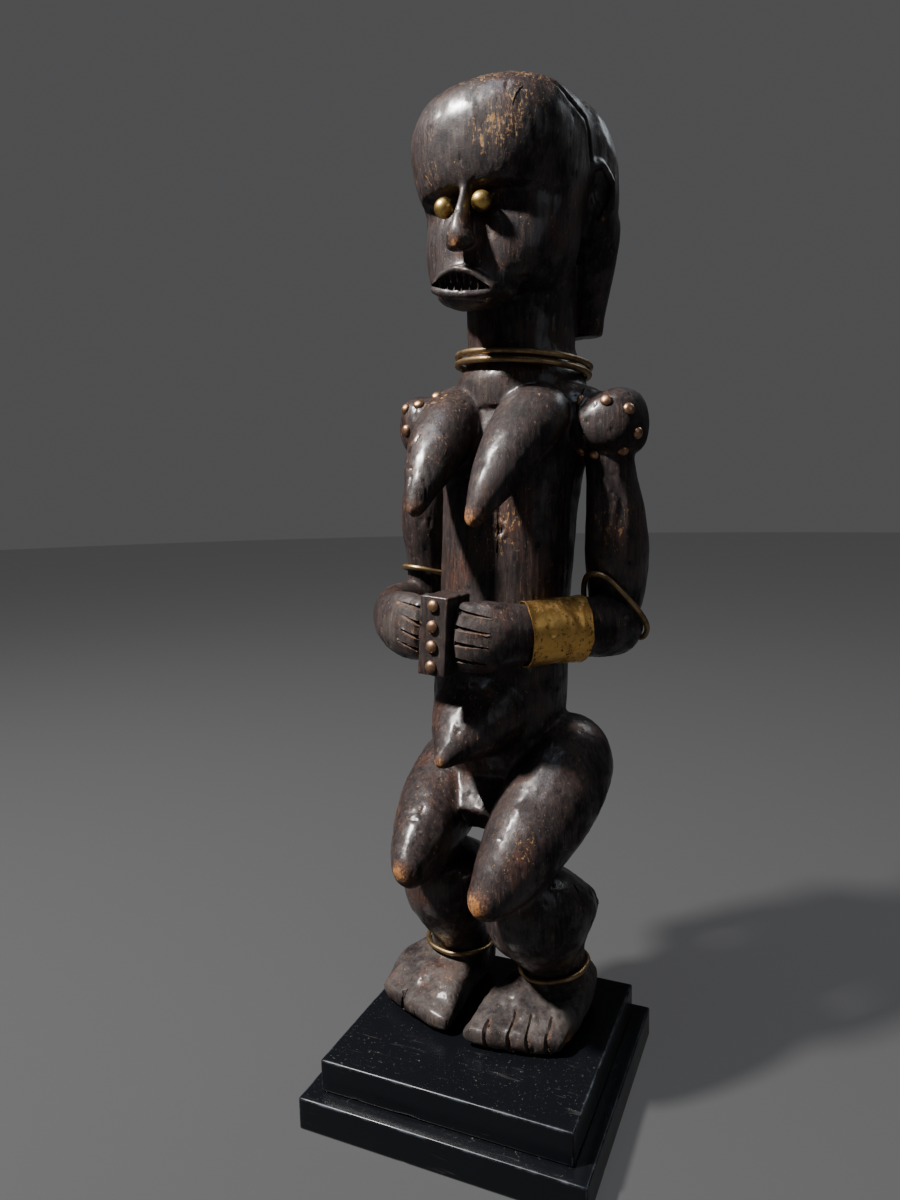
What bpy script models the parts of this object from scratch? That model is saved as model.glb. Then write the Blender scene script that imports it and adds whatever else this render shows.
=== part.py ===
"""Byeri reliquary figure on a stepped plinth: a carved wooden figure with brass rings, cuff, tacks and eyes.

Metres, +Z up. The figure faces -Y, and the origin is level with the plinth's underside, below the middle of the
whole, which is a little behind the middle of the plinth.
"""

import math

import bmesh
import bpy
import numpy as np
from mathutils import Matrix, Vector
from mathutils.bvhtree import BVHTree

# Driving dimensions
FIGURE_HEIGHT = 0.568
LOWER_BOARD_WIDTH = 0.175
LOWER_BOARD_DEPTH = 0.167
LOWER_BOARD_THICKNESS = 0.020
UPPER_BOARD_WIDTH = 0.155
UPPER_BOARD_DEPTH = 0.147
UPPER_BOARD_THICKNESS = 0.020
BOARD_BEVEL = 0.0012
CLEARANCE = 0.0003

EYE_RADIUS = 0.0056
EYE_PIN_RADIUS = 0.0016
EYE_PIN_LENGTH = 0.0060
TACK_HEAD_RADIUS = 0.0035
TACK_HEAD_HEIGHT = 0.0024
TACK_SHANK_RADIUS = 0.0010
TACK_SHANK_LENGTH = 0.0050
NECK_WIRE_RADIUS = 0.0020
NECK_RING_RADIUS = 0.0410
NECK_RING_PITCH = 0.0049
NECK_RING_TURNS = 1.95
ARM_WIRE_RADIUS = 0.0017
ARM_RING_SLACK = 0.0007
ANKLE_WIRE_RADIUS = 0.0016
ANKLE_RING_SLACK = 0.0007
CUFF_LENGTH = 0.037
CUFF_THICKNESS = 0.0010
CUFF_SLACK = 0.0009
BLOCK_WIDTH = 0.0185
BLOCK_HEIGHT = 0.046
BLOCK_DEPTH = 0.026
BLOCK_BEVEL = 0.0010

# The figure's forms are shares of its height: they are drawn FORM_HEIGHT units high, from the soles up.
FORM_HEIGHT = 568
UNIT = FIGURE_HEIGHT / FORM_HEIGHT
TURN = math.radians(-7)
TURN_CENTRE_Y = 40
SWAY = 0.03
SWAY_FROM = 200
VOXEL = 1.6
FIGURE_TRIANGLES = 3500
NECK = 34
ANKLE = 20.5

X_AXIS = (1, 0, 0)
Z_AXIS = (0, 0, 1)
Y_AXIS = (0, 1, 0)
PLINTH_TOP = LOWER_BOARD_THICKNESS + CLEARANCE + UPPER_BOARD_THICKNESS

TOE_SLANT = 0.38
MOUTH_MIDDLE = -3
MOUTH_HALF_WIDTH = 20
MOUTH_FRONT = -17
MOUTH_WRAP = 4
MOUTH_CORNER = 446.5
MOUTH_ARCH = 9.5
MOUTH_SAG = -3
MOUTH_TILT = 0.17
MOUTH_DEPTH = 7
FINGER_ROWS = (13.5, 4.5, -4.5, -13.5)
FINGER_TIP = -4
KNUCKLE = -9
LEFT_TOES = ((8, -12, 12, 3), (21, -12, 12, 3), (34, -12, 12, 3), (47, -12, 12, 3))
RIGHT_TOES = ((-46, -12, 12, 2),)
BLOCK_CENTRE = (-2.5, -33, 254)
BLOCK_TILT = math.radians(4)
BLOCK_TACKS = 4
CUFF_STATION = 18
TACK_SEAT = 0.0004
EYES = {"eye_left": (10, -17, 489), "eye_right": (-13.5, -17, 489.5)}
NECK_COIL = ((3, 52.5, 412), (0.06, 0.06, 1), NECK_RING_RADIUS, NECK_RING_PITCH, NECK_RING_TURNS, -40)
LEFT_SHOULDER = (62, 48, 372)
RIGHT_SHOULDER = (-60, 48, 374)
LEFT_TACKS = ((-40, 34), (16, 30), (50, 16), (66, -17), (48, -44), (-12, -50), (-50, -42))
RIGHT_TACKS = ((-28, 34), (0, 42), (38, 44), (-20, 0), (-6, -32))
LEFT_FOREARM = [
    (74, 62, 251, 15, 15),
    (71, 46, 252, 19, 17),
    (62, 26, 253, 18.5, 13.5),
    (48.5, 3.5, 253.5, 18, 12),
    (35.5, -14.5, 253, 18, 11.5),
    (23, -27, 252.5, 21, 12),
    (4, -36, 252.5, 20, 10),
]
RIGHT_FOREARM = [
    (-74, 62, 251, 16, 15),
    (-75, 45, 254, 19, 18),
    (-70, 22.5, 256, 19, 15),
    (-60, 0.5, 257, 18, 13.5),
    (-46, -18, 257, 18, 12.5),
    (-30, -31, 257, 20, 12),
    (-8, -37, 256, 19, 10),
]

WOOD = ("aged_wood", (0.035, 0.022, 0.017), 0.38, 0.0)
LACQUER = ("black_lacquer", (0.012, 0.012, 0.014), 0.35, 0.0)
BRASS = ("old_brass", (0.42, 0.29, 0.13), 0.38, 1.0)
SHEET_BRASS = ("sheet_brass", (0.62, 0.40, 0.12), 0.34, 1.0)


def clear_scene():
    for obj in list(bpy.data.objects):
        bpy.data.objects.remove(obj)


def material(name, colour, roughness, metallic):
    made = bpy.data.materials.get(name) or bpy.data.materials.new(name)
    made.use_nodes = True
    shader = made.node_tree.nodes["Principled BSDF"]
    shader.inputs["Base Color"].default_value = (*colour, 1)
    shader.inputs["Roughness"].default_value = roughness
    shader.inputs["Metallic"].default_value = metallic
    return made


def finish(name, bm, look):
    """The bmesh as a named object, smooth where it is round."""
    bmesh.ops.recalc_face_normals(bm, faces=bm.faces)
    mesh = bpy.data.meshes.new(name)
    bm.to_mesh(mesh)
    bm.free()
    mesh.shade_smooth()
    mesh.set_sharp_from_angle(angle=math.radians(40))
    obj = bpy.data.objects.new(name, mesh)
    bpy.context.scene.collection.objects.link(obj)
    if look:
        mesh.materials.append(material(*look))
    return obj


def cutter(name, bm):
    obj = finish(name, bm, None)
    obj.hide_render = True
    obj.display_type = "WIRE"
    return obj


def bake(obj):
    """The object's modifiers worked into its mesh."""
    graph = bpy.context.evaluated_depsgraph_get()
    baked = bpy.data.meshes.new_from_object(obj.evaluated_get(graph))
    obj.modifiers.clear()
    obj.data = baked


def combine(obj, other, operation):
    """A Boolean of the object with another, which is then removed."""
    step = obj.modifiers.new(operation.lower(), "BOOLEAN")
    step.object = other
    step.operation = operation
    step.solver = "EXACT"
    bake(obj)
    bpy.data.objects.remove(other)


def curve_through(rows, per_span):
    """A smooth line through rows of numbers, with per_span steps between one row and the next."""
    rows = np.array(rows, float)
    ends = np.vstack([2 * rows[0] - rows[1], rows, 2 * rows[-1] - rows[-2]])
    line = []
    for a, b, c, d in zip(ends, ends[1:], ends[2:], ends[3:]):
        for t in np.arange(per_span) / per_span:
            line.append(
                b + 0.5 * t * (c - a + t * (2 * a - 5 * b + 4 * c - d + t * (3 * (b - c) + d - a)))
            )
    line.append(rows[-1])
    return np.array(line)


def sections(stations, across, domes, level=False, per_span=6):
    """Centres, two unit vectors and two half sizes along a limb given by (x, y, z, half width, half depth).

    A section lies square to the limb, or level where the form is drawn height by height.
    """
    rows = curve_through(stations, per_span)
    centres, halves = rows[:, :3], np.maximum(rows[:, 3:], 0.4)
    along = np.gradient(centres, axis=0)
    if level:
        along[:] = Z_AXIS
    along /= np.linalg.norm(along, axis=1)[:, None]
    width = np.array(across, float) - (along @ np.array(across, float))[:, None] * along
    width /= np.linalg.norm(width, axis=1)[:, None]
    depth = np.cross(along, width)
    steps = np.linalg.norm(np.diff(centres, axis=0), axis=1)
    run = np.concatenate([[0], np.cumsum(steps)])
    for distance, dome in ((run, domes[0]), (run[-1] - run, domes[1])):
        if dome:
            rise = np.clip(distance / dome, 0.015, 1)
            halves = halves * np.sqrt(1 - (1 - rise) ** 2)[:, None]
    return centres, width, depth, halves


def tube(bm, centres, width, depth, halves, sides, power=2.0):
    """A closed skin drawn section by section, each one extruded from the last."""
    turn = np.linspace(0, 2 * math.pi, sides, endpoint=False)
    c, s = np.cos(turn), np.sin(turn)
    c = np.sign(c) * np.abs(c) ** (2 / power)
    s = np.sign(s) * np.abs(s) ** (2 / power)
    rings = (
        centres[:, None]
        + width[:, None] * (halves[:, :1] * c)[:, :, None]
        + depth[:, None] * (halves[:, 1:] * s)[:, :, None]
    )
    first = [bm.verts.new(p) for p in rings[0]]
    face = bm.faces.new(first)
    for ring in rings[1:]:
        face = bmesh.ops.extrude_discrete_faces(bm, faces=[face])["faces"][0]
        for vert, place in zip(face.verts, ring):
            vert.co = place
    bm.faces.new(reversed(first))
    return rings


def limb(bm, stations, across=X_AXIS, domes=(0, 0), power=2.0, sides=28, level=False, per_span=6):
    tube(bm, *sections(stations, across, domes, level, per_span), sides, power)


def pair(bm, left, right=None, **form):
    """The same form on both sides, or with stations of its own where the carver made the right one different."""
    limb(bm, left, **form)
    limb(bm, np.array(right or left) * (-1, 1, 1, 1, 1), **form)


def torso(bm):
    limb(
        bm,
        [
            (0, 36, 146, 24, 20),
            (0, 34, 168, 37, 31),
            (0, 33, 196, 42, 38),
            (0, 35, 225, 42, 39),
            (0, 38, 258, 41, 37.5),
            (0, 41, 300, 42, 37),
            (0, 44, 335, 44, 36),
            (0, 47, 366, 50, 34),
            (0, 50, 388, 52, 30),
            (0, 52, 400, 44, 25),
        ],
        domes=(14, 8),
        power=2.3,
    )
    limb(
        bm,
        [(-60, 49, 379, 20, 18), (-36, 49, 384, 23, 18.5), (0, 50, 382, 26, 19), (60, 49, 376, 20, 18)],
        across=Y_AXIS,
        domes=(12, 12),
        power=2.4,
    )


def belly(bm):
    limb(
        bm,
        [
            (0, 26, 208, 37, 36),
            (0, 4, 198, 32, 27),
            (-1, -17, 188, 20, 17),
            (-2, -32, 181, 9, 8),
            (-3, -41, 177, 3, 3),
        ],
        domes=(10, 3),
    )


def loins(bm):
    limb(
        bm,
        [(0, 36, 163, 24, 24), (0, 18, 145, 18, 17), (-1, 0, 131, 13, 11)],
        power=5,
        sides=16,
    )
    pair(
        bm,
        [(20, 44, 172, 20, 22), (21, 66, 162, 22, 25), (21, 84, 157, 15, 17)],
        domes=(10, 14),
    )


def breasts(bm):
    pair(
        bm,
        [
            (26, 36, 384, 17, 14),
            (26, 16, 374, 22, 19),
            (23, -5, 355, 19, 17),
            (19, -22, 334, 12.5, 11.5),
            (15, -36, 314, 4, 4),
        ],
        right=[
            (28, 36, 386, 18, 14),
            (28, 16, 375, 21, 19),
            (26, -5, 357, 18, 17),
            (24, -22, 338, 12, 11),
            (22, -36, 320, 4, 4),
        ],
        domes=(10, 4),
    )


def legs(bm):
    pair(
        bm,
        [
            (36, 62, 170, 24, 26),
            (42, 44, 167, 30, 31),
            (43, 20, 150, 30, 31),
            (38, -8, 129, 26, 27),
            (32, -32, 110, 18, 19),
            (25, -50, 97, 8, 9),
        ],
        right=[
            (30, 58, 158, 22, 26),
            (34, 42, 150, 26, 29),
            (35, 20, 137, 26, 29),
            (30, -8, 125, 22.5, 26),
            (26, -32, 114, 15, 18),
            (21, -50, 107, 7, 9),
        ],
        domes=(24, 7),
    )
    pair(
        bm,
        [
            (37, 26, 104, 20, 24),
            (37, 20, 92, 31, 38),
            (37, 15, 78, 34.5, 43),
            (37.5, 19, 62, 29, 32),
            (39, 24, 47, 22, 24),
            (40, 26, 35, ANKLE, ANKLE),
            (39, 28, 16, 23, 22),
        ],
        right=[
            (29, 24, 108, 17, 22),
            (30, 22, 96, 28, 34),
            (31, 20, 80, 30, 37),
            (30, 22, 63, 25, 30),
            (29, 26, 47, 19.5, 22),
            (29, 28, 34, ANKLE, ANKLE),
            (32, 29, 18, 22, 22),
        ],
        domes=(16, 0),
    )


def feet(bm):
    left = [
        (37, 62, 13, 17, 13),
        (38, 46, 15, 23, 15),
        (38, 24, 15.5, 26.5, 15.5),
        (36, 3, 14, 29.5, 14),
        (34, -14, 9, 30, 9),
        (33, -26, 7, 30, 7),
    ]
    right = [
        (33, 62, 13, 16, 13),
        (34, 46, 15, 21, 15),
        (36, 24, 15.5, 25, 15.5),
        (38, 3, 14, 30, 14),
        (37, -14, 9, 31, 9),
        (36, -26, 7, 31, 7),
    ]
    for side, stations in ((1, left), (-1, right)):
        start = len(bm.verts)
        limb(bm, np.array(stations) * (side, 1, 1, 1, 1), domes=(10, 6), power=3.2)
        bm.verts.ensure_lookup_table()
        for vert in bm.verts[start:]:
            forward = min(max((40 - vert.co.y) / 60, 0), 1)
            vert.co.y += TOE_SLANT * forward * (vert.co.x * side - 34)


def arms(bm):
    pair(
        bm,
        [(58, 48, 351, 18, 18), (60, 48, 363, 24, 23), (60, 48, 377, 24, 23), (55, 48, 390, 16, 17)],
        right=[(55, 48, 356, 15, 17), (58, 48, 366, 20, 22), (60, 48, 380, 21, 23), (55, 48, 395, 19, 18)],
        domes=(12, 10),
        power=2.3,
    )
    pair(
        bm,
        [
            (62, 48, 368, 14, 15),
            (64, 49, 344, 14.5, 18),
            (67, 51, 318, 17.5, 22),
            (68, 53, 296, 19, 23.5),
            (68, 54, 272, 17.5, 19),
            (67, 54, 250, 14, 14),
        ],
        right=[
            (58, 48, 368, 13, 15),
            (61, 49, 350, 14, 17),
            (64, 50, 330, 18, 20),
            (65, 51, 312, 18, 21),
            (65, 53, 292, 16, 19),
            (66, 54, 272, 15.5, 17),
            (68, 54, 254, 15, 16),
        ],
        domes=(0, 14),
    )
    limb(bm, LEFT_FOREARM, across=Z_AXIS, domes=(16, 6))
    limb(bm, RIGHT_FOREARM, across=Z_AXIS, domes=(16, 6))


def neck_and_head(bm):
    limb(
        bm,
        [
            (2, 52, 384, 44, 38),
            (2, 52, 400, 41, 39),
            (2, 52, 406, 38, 37),
            (2, 52, 413, NECK, NECK),
            (1, 50, 470, NECK, NECK),
        ],
    )
    limb(
        bm,
        [
            (-1, 21, 445, 22, 26),
            (-1, 22, 452, 36, 36),
            (0, 26, 463, 43, 40),
            (0, 28, 478, 46, 41),
            (0, 30, 494, 48, 42),
            (0, 33, 514, 50, 47),
            (0, 34, 534, 50, 49),
            (0, 35, 551, 44, 45),
            (0, 36, 562, 30, 32),
            (0, 36, 567, 17, 18),
        ],
        domes=(6, 5),
        power=2.2,
        sides=36,
        level=True,
    )
    limb(
        bm,
        [
            (-1, 16, 497, 40, 35),
            (-1, 18, 506, 44.5, 41),
            (-1, 20, 521, 49, 45),
            (-1, 22, 538, 49, 46),
            (0, 26, 552, 42.5, 42),
            (0, 31, 562, 28, 28),
            (0, 33, 567, 15, 15),
        ],
        domes=(0, 5),
        power=2.2,
        sides=36,
        level=True,
    )


def hood(bm):
    limb(
        bm,
        [
            (0, 74, 478, 44, 22),
            (0, 72, 488, 52, 32),
            (0, 69, 500, 54, 36),
            (0, 67, 514, 54.5, 39),
            (1, 63, 534, 52, 41),
            (1, 58, 551, 45, 39),
            (1, 53, 562, 31, 29),
            (1, 50, 566, 18, 18),
        ],
        domes=(6, 5),
        power=2.3,
        sides=36,
        level=True,
    )
    limb(
        bm,
        [
            (0, 85, 429, 42, 8.5),
            (0, 85, 446, 44, 9.5),
            (0, 83, 468, 49, 13),
            (0, 78, 492, 53, 20),
            (0, 74, 505, 51, 22),
        ],
        power=3.2,
        sides=36,
        level=True,
    )
    limb(bm, [(3, 44, 563, 5, 3), (4, 54, 563, 5, 4), (4, 66, 557, 5, 4)], domes=(2, 4), power=3, sides=12)


def ears(bm):
    pair(
        bm,
        [
            (48, 43, 517, 3, 2.6),
            (52, 50, 519, 3, 2.6),
            (55, 57, 510, 3, 2.6),
            (55, 58, 499, 3, 2.6),
            (51, 53, 489, 3, 2.6),
        ],
        domes=(2, 2),
        sides=12,
    )


def mouth_line(share, upper):
    """A point between the mouth's corners, at -1 and 1, along the arched upper edge or the flat lower one."""
    height = (MOUTH_ARCH if upper else MOUTH_SAG) * (1 - share**2)
    x = MOUTH_MIDDLE + MOUTH_HALF_WIDTH * share
    height += MOUTH_CORNER - MOUTH_TILT * share * MOUTH_HALF_WIDTH
    return x, MOUTH_FRONT + MOUTH_WRAP * share**2, height


def face(bm):
    limb(
        bm,
        [
            (0, -15, 500, 3, 5),
            (0, -18, 489, 3.5, 6),
            (0, -21, 477, 6, 8),
            (0, -22, 470, 9, 8.5),
            (0, -19, 464, 8, 6),
        ],
        domes=(0, 4),
        sides=16,
    )
    limb(
        bm,
        [(-1, 6, 450, 26, 13), (-2, -6, 449, 24, 12), (-2.5, -13, 448, 22, 10)],
        domes=(0, 4),
        power=2.6,
    )
    shares = np.linspace(-1, 1, 9)
    for upper, lip in ((True, 2.3), (False, 2.9)):
        line = [(*mouth_line(share, upper), lip, lip) for share in shares]
        limb(bm, line, across=Z_AXIS, domes=(2, 2), sides=12)


def figure_skin(bm):
    """All the body forms in one mesh, still overlapping."""
    for form in (torso, belly, loins, breasts, legs, feet, arms, neck_and_head, hood, ears, face):
        form(bm)


def in_world(point):
    """A point of the figure's own shares, swayed, turned and stood on the plinth."""
    x, y, z = point
    x += SWAY * max(z - SWAY_FROM, 0)
    turned_round = turned_way((x, y - TURN_CENTRE_Y, z))
    return (turned_round + Vector((0, TURN_CENTRE_Y, 0))) * UNIT + Vector((0, 0, PLINTH_TOP))


def turned_way(direction):
    return Matrix.Rotation(TURN, 3, "Z") @ Vector(direction)


def block(bm):
    """The upright block between the hands, crisp beside the rounded forms."""
    made = bmesh.ops.create_cube(bm, size=1)["verts"]
    bmesh.ops.scale(bm, vec=(BLOCK_WIDTH, BLOCK_DEPTH, BLOCK_HEIGHT), verts=made)
    edges = list({edge for vert in made for edge in vert.link_edges})
    bmesh.ops.bevel(bm, geom=edges, offset=BLOCK_BEVEL, segments=1, affect="EDGES")
    turn = Matrix.Rotation(TURN, 4, "Z") @ Matrix.Rotation(BLOCK_TILT, 4, "Y")
    bmesh.ops.transform(bm, matrix=Matrix.Translation(in_world(BLOCK_CENTRE)) @ turn, verts=bm.verts)


def teeth(bm):
    """Two rows of pointed teeth, the upper ones longer, with their roots in the jaw."""
    for upper, count, length in ((True, 8, 5.0), (False, 7, 3.4)):
        for share in (np.arange(count) + 0.5) / count * 1.7 - 0.85:
            x, y, z = mouth_line(share, upper)
            down = -1 if upper else 1
            root, tip = z - down * 1.0, z + down * length * (1 - 0.45 * share**2)
            rows = [(x, y + 2.5, root, 1.5, 2.2), (x, y + 2.5, tip, 0.4, 0.5)]
            limb(bm, rows, sides=4, per_span=1)


def mouth_opening(bm):
    """What is cut out between the lips."""
    shares = np.linspace(-0.93, 0.93, 10)
    lower = [mouth_line(share, False) for share in shares]
    upper = [mouth_line(share, True) for share in shares[::-1]]
    outline = lower + upper
    front = bm.faces.new([bm.verts.new((x, MOUTH_FRONT - 8, z)) for x, y, z in outline])
    grown = bmesh.ops.extrude_face_region(bm, geom=[front])["geom"]
    moved = [item for item in grown if isinstance(item, bmesh.types.BMVert)]
    bmesh.ops.translate(bm, vec=(0, MOUTH_DEPTH + 8, 0), verts=moved)


def finger_grooves(bm):
    """Four cuts part the fingers of each hand, where they reach for the block."""
    for side, forearm in ((1, LEFT_FOREARM), (-1, RIGHT_FOREARM)):
        centres, width, depth, halves = sections(forearm, Z_AXIS, (0, 0))
        outer = depth * halves[:, 1:] * np.sign((depth @ np.array((side, -1, 0.0))))[:, None]
        near, far = (centres + outer)[FINGER_TIP], (centres + outer)[KNUCKLE]
        for row in FINGER_ROWS:
            lift = np.array((0, 0, row))
            tip, middle, end = near + lift, (near + far) / 2 + lift, far + lift
            rows = [(*tip, 1.6, 2.4), (*middle, 1.5, 2.6), (*end, 0.5, 0.8)]
            limb(bm, rows, across=Z_AXIS, sides=4, per_span=1)


def toe_grooves(bm):
    for side, rows in ((1, LEFT_TOES), (-1, RIGHT_TOES)):
        for x, start, length, deep in rows:
            slant = TOE_SLANT * (x * side - 34)
            line = [
                (x, -34 + slant, 7, 1.5, deep + 4),
                (x, -14 + slant, 14, 1.5, deep + 2),
                (x, start + length + slant, 20, 0.5, 1.5),
            ]
            limb(bm, line, sides=4, per_span=1)


def turned(bm, profile, place, axis, sides):
    """A solid of revolution: the profile gives distances along the axis and radii."""
    axis = Vector(axis).normalized()
    across = axis.orthogonal().normalized()
    profile = np.array(profile)
    centres = np.array(place) + profile[:, :1] * np.array(axis)
    count = len(profile)
    halves = np.repeat(profile[:, 1:], 2, axis=1)
    tube(bm, centres, np.tile(across, (count, 1)), np.tile(axis.cross(across), (count, 1)), halves, sides)


def wire(bm, points, radius, sides):
    """Round wire along points."""
    points = np.array(points)
    along = np.gradient(points, axis=0)
    along /= np.linalg.norm(along, axis=1)[:, None]
    middle = points.mean(axis=0)
    out = points - middle
    out -= np.sum(out * along, axis=1)[:, None] * along
    out /= np.linalg.norm(out, axis=1)[:, None]
    tube(bm, points, out, np.cross(along, out), np.full((len(points), 2), radius), sides)


def ring_plane(centre, normal):
    """Where a ring's plane lies, with the way to the figure's left side and the way to its front in it."""
    normal = turned_way(normal).normalized()
    left = turned_way(X_AXIS)
    left = (left - left.dot(normal) * normal).normalized()
    return in_world(centre), normal, left, left.cross(normal)


def coil(centre, normal, radius, pitch, turns, start):
    """Points round an even coil, start degrees on from the figure's left side."""
    middle, normal, left, front = ring_plane(centre, normal)
    points = []
    for number in range(round(20 * turns) + 1):
        angle = math.radians(start) + number / 20 * 2 * math.pi
        rise = pitch * (number / 20 - turns / 2)
        points.append(middle + radius * (math.cos(angle) * left + math.sin(angle) * front) + rise * normal)
    return points


def snug(tree, middle, axis, across, levels, gap, angles):
    """Points round a limb on the convex outline that clears the wood by a gap at some levels along the axis."""
    up = axis.cross(across)
    facing = np.radians(np.arange(0, 360, 3))
    units = np.stack([np.cos(facing), np.sin(facing)])
    reach = np.zeros(len(facing))
    for level in levels:
        start = middle + level * axis
        found = [tree.ray_cast(start, float(c) * across + float(s) * up)[3] for c, s in units.T]
        # A ray that slips between two faces is outvoted by its neighbours.
        found = np.median([np.roll(found, step) for step in range(-2, 3)], axis=0)
        reach = np.maximum(reach, ((found * units).T @ units).max(axis=0))
    reach += gap
    points = []
    for angle in angles:
        share = np.cos(angle - facing)
        away = float((reach[share > 0.3] / share[share > 0.3]).min())
        points.append(middle + away * (math.cos(angle) * across + math.sin(angle) * up))
    return points


def tight_ring(tree, centre, normal, radius, slack, start, sweep):
    """Points round a limb where a bent wire lies snug, bridging the limb's hollows."""
    middle, normal, left, front = ring_plane(centre, normal)
    angles = [math.radians(start + share * sweep) for share in np.linspace(0, 1, round(sweep / 12) + 1)]
    return snug(tree, middle, -normal, left, (-radius, 0, radius), radius + slack, angles)


def let_down(tree, points, radius):
    """The points of a loose ring, lowered until it all but rests on the flare below."""
    for step in range(6):
        gap = min(tree.find_nearest(place)[3] for place in points) - radius
        points = [place - Vector((0, 0, gap - 2 * CLEARANCE)) for place in points]
    return points


def rings(tree):
    """Name: points along the wire, and its radius."""
    found = {"neck_ring": (let_down(tree, coil(*NECK_COIL), NECK_WIRE_RADIUS), NECK_WIRE_RADIUS)}
    for name, slack, radius, place in (
        ("arm_ring_left", ARM_RING_SLACK, ARM_WIRE_RADIUS, ((67, 52, 255), (0.21, 0.78, 0.59), -40, 250)),
        ("arm_ring_right", ARM_RING_SLACK, ARM_WIRE_RADIUS, ((-65, 53, 279), (0.1, 0.25, 0.96), -80, 340)),
        ("ankle_ring_left", ANKLE_RING_SLACK, ANKLE_WIRE_RADIUS, ((40, 26, 36), (-0.1, -0.05, 1), -80, 340)),
        ("ankle_ring_right", ANKLE_RING_SLACK, ANKLE_WIRE_RADIUS, ((-29, 28, 34), (0, 0, 1), -80, 340)),
    ):
        centre, normal, start, sweep = place
        found[name] = (tight_ring(tree, centre, normal, radius, slack, start, sweep), radius)
    return found


def cuff(tree):
    """A sheet bent round the left forearm, following it from end to end."""
    centres, width, depth, halves = sections(LEFT_FOREARM, Z_AXIS, (0, 0))
    run = np.concatenate([[0], np.cumsum(np.linalg.norm(np.diff(centres, axis=0), axis=1))]) * UNIT
    wanted = run[CUFF_STATION] + CUFF_LENGTH * np.linspace(-0.5, 0.5, 5)
    angles = np.linspace(0, 2 * math.pi, 24, endpoint=False)
    reach = CUFF_LENGTH / 8
    loops = []
    for distance in wanted:
        centre = [np.interp(distance, run, column) for column in centres.T]
        across = [np.interp(distance, run, column) for column in width.T]
        ahead = [np.interp(distance + 0.001, run, column) for column in centres.T]
        axis = (in_world(ahead) - in_world(centre)).normalized()
        across = turned_way(across)
        across = (across - across.dot(axis) * axis).normalized()
        middle = in_world(centre)
        inner = snug(tree, middle, axis, across, (-reach, 0, reach), CUFF_SLACK, angles)
        outer = [place + CUFF_THICKNESS * (place - middle).normalized() for place in inner]
        loops.append((inner, outer))
    bm = bmesh.new()
    walls = [[bm.verts.new(place) for place in loop[1]] for loop in loops]
    walls += [[bm.verts.new(place) for place in loop[0]] for loop in reversed(loops)]
    for this, following in zip(walls, walls[1:] + walls[:1]):
        for index in range(len(this)):
            bm.faces.new((this[index - 1], this[index], following[index], following[index - 1]))
    return finish("wrist_cuff", bm, SHEET_BRASS)


def eye(bm, place, grow):
    ball, pin = EYE_RADIUS + grow, EYE_PIN_RADIUS + grow
    back = math.asin(pin / ball)
    profile = [(EYE_RADIUS + EYE_PIN_LENGTH + grow, pin)]
    for angle in np.linspace(back, math.radians(170), 7):
        profile.append((ball * math.cos(angle), ball * math.sin(angle)))
    turned(bm, profile, in_world(place), turned_way(Y_AXIS), 12)


def tack(bm, place, out, grow):
    head, shank = TACK_HEAD_RADIUS + grow, TACK_SHANK_RADIUS + grow
    profile = [(-TACK_SHANK_LENGTH - grow, shank), (-TACK_SEAT - grow, shank), (-TACK_SEAT - grow, head)]
    for share in (0.35, 0.8):
        profile.append((TACK_HEAD_HEIGHT * share + grow, head * math.sqrt(1 - share**2)))
    turned(bm, profile, place, out, 8)


def tacks(tree):
    """Name: where each tack meets the wood, and the way it points."""
    found = {}
    for name, centre, directions in (
        ("tack_shoulder_left", LEFT_SHOULDER, LEFT_TACKS),
        ("tack_shoulder_right", RIGHT_SHOULDER, RIGHT_TACKS),
    ):
        for number, (azimuth, elevation) in enumerate(directions, 1):
            a, e = math.radians(azimuth), math.radians(elevation)
            way = turned_way((math.sin(a) * math.cos(e), -math.cos(a) * math.cos(e), math.sin(e)))
            hit, normal = tree.ray_cast(in_world(centre), way)[:2]
            found[f"{name}_{number}"] = (hit, (way + normal).normalized())
    forward = turned_way((0, -1, 0))
    up = turned_way(Matrix.Rotation(BLOCK_TILT, 3, "Y") @ Vector(Z_AXIS))
    for number in range(BLOCK_TACKS):
        height = (0.5 - (number + 0.5) / BLOCK_TACKS) * BLOCK_HEIGHT
        place = in_world(BLOCK_CENTRE) + forward * BLOCK_DEPTH / 2 + height * up
        found[f"tack_block_{number + 1}"] = (place, forward)
    return found


def into_world(form):
    bm = bmesh.new()
    form(bm)
    for vert in bm.verts:
        vert.co = in_world(vert.co)
    return bm


def carved_body():
    """The rounded forms fused into one skin, then thinned to few triangles."""
    obj = finish("figure", into_world(figure_skin), WOOD)
    fuse = obj.modifiers.new("fuse", "REMESH")
    fuse.mode = "VOXEL"
    fuse.voxel_size = VOXEL * UNIT
    soften = obj.modifiers.new("soften", "SMOOTH")
    soften.factor = 0.5
    soften.iterations = 6
    bake(obj)
    thin = obj.modifiers.new("thin", "DECIMATE")
    thin.ratio = FIGURE_TRIANGLES / sum(len(face.vertices) - 2 for face in obj.data.polygons)
    bake(obj)
    return obj


def let_in(body, name, draw):
    """A brass piece drawn in its place, and its seat cut in the wood with a clearance all round."""
    bm = bmesh.new()
    draw(bm, 0)
    finish(name, bm, BRASS)
    seat = bmesh.new()
    draw(seat, CLEARANCE)
    combine(body, cutter("seat", seat), "DIFFERENCE")


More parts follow.
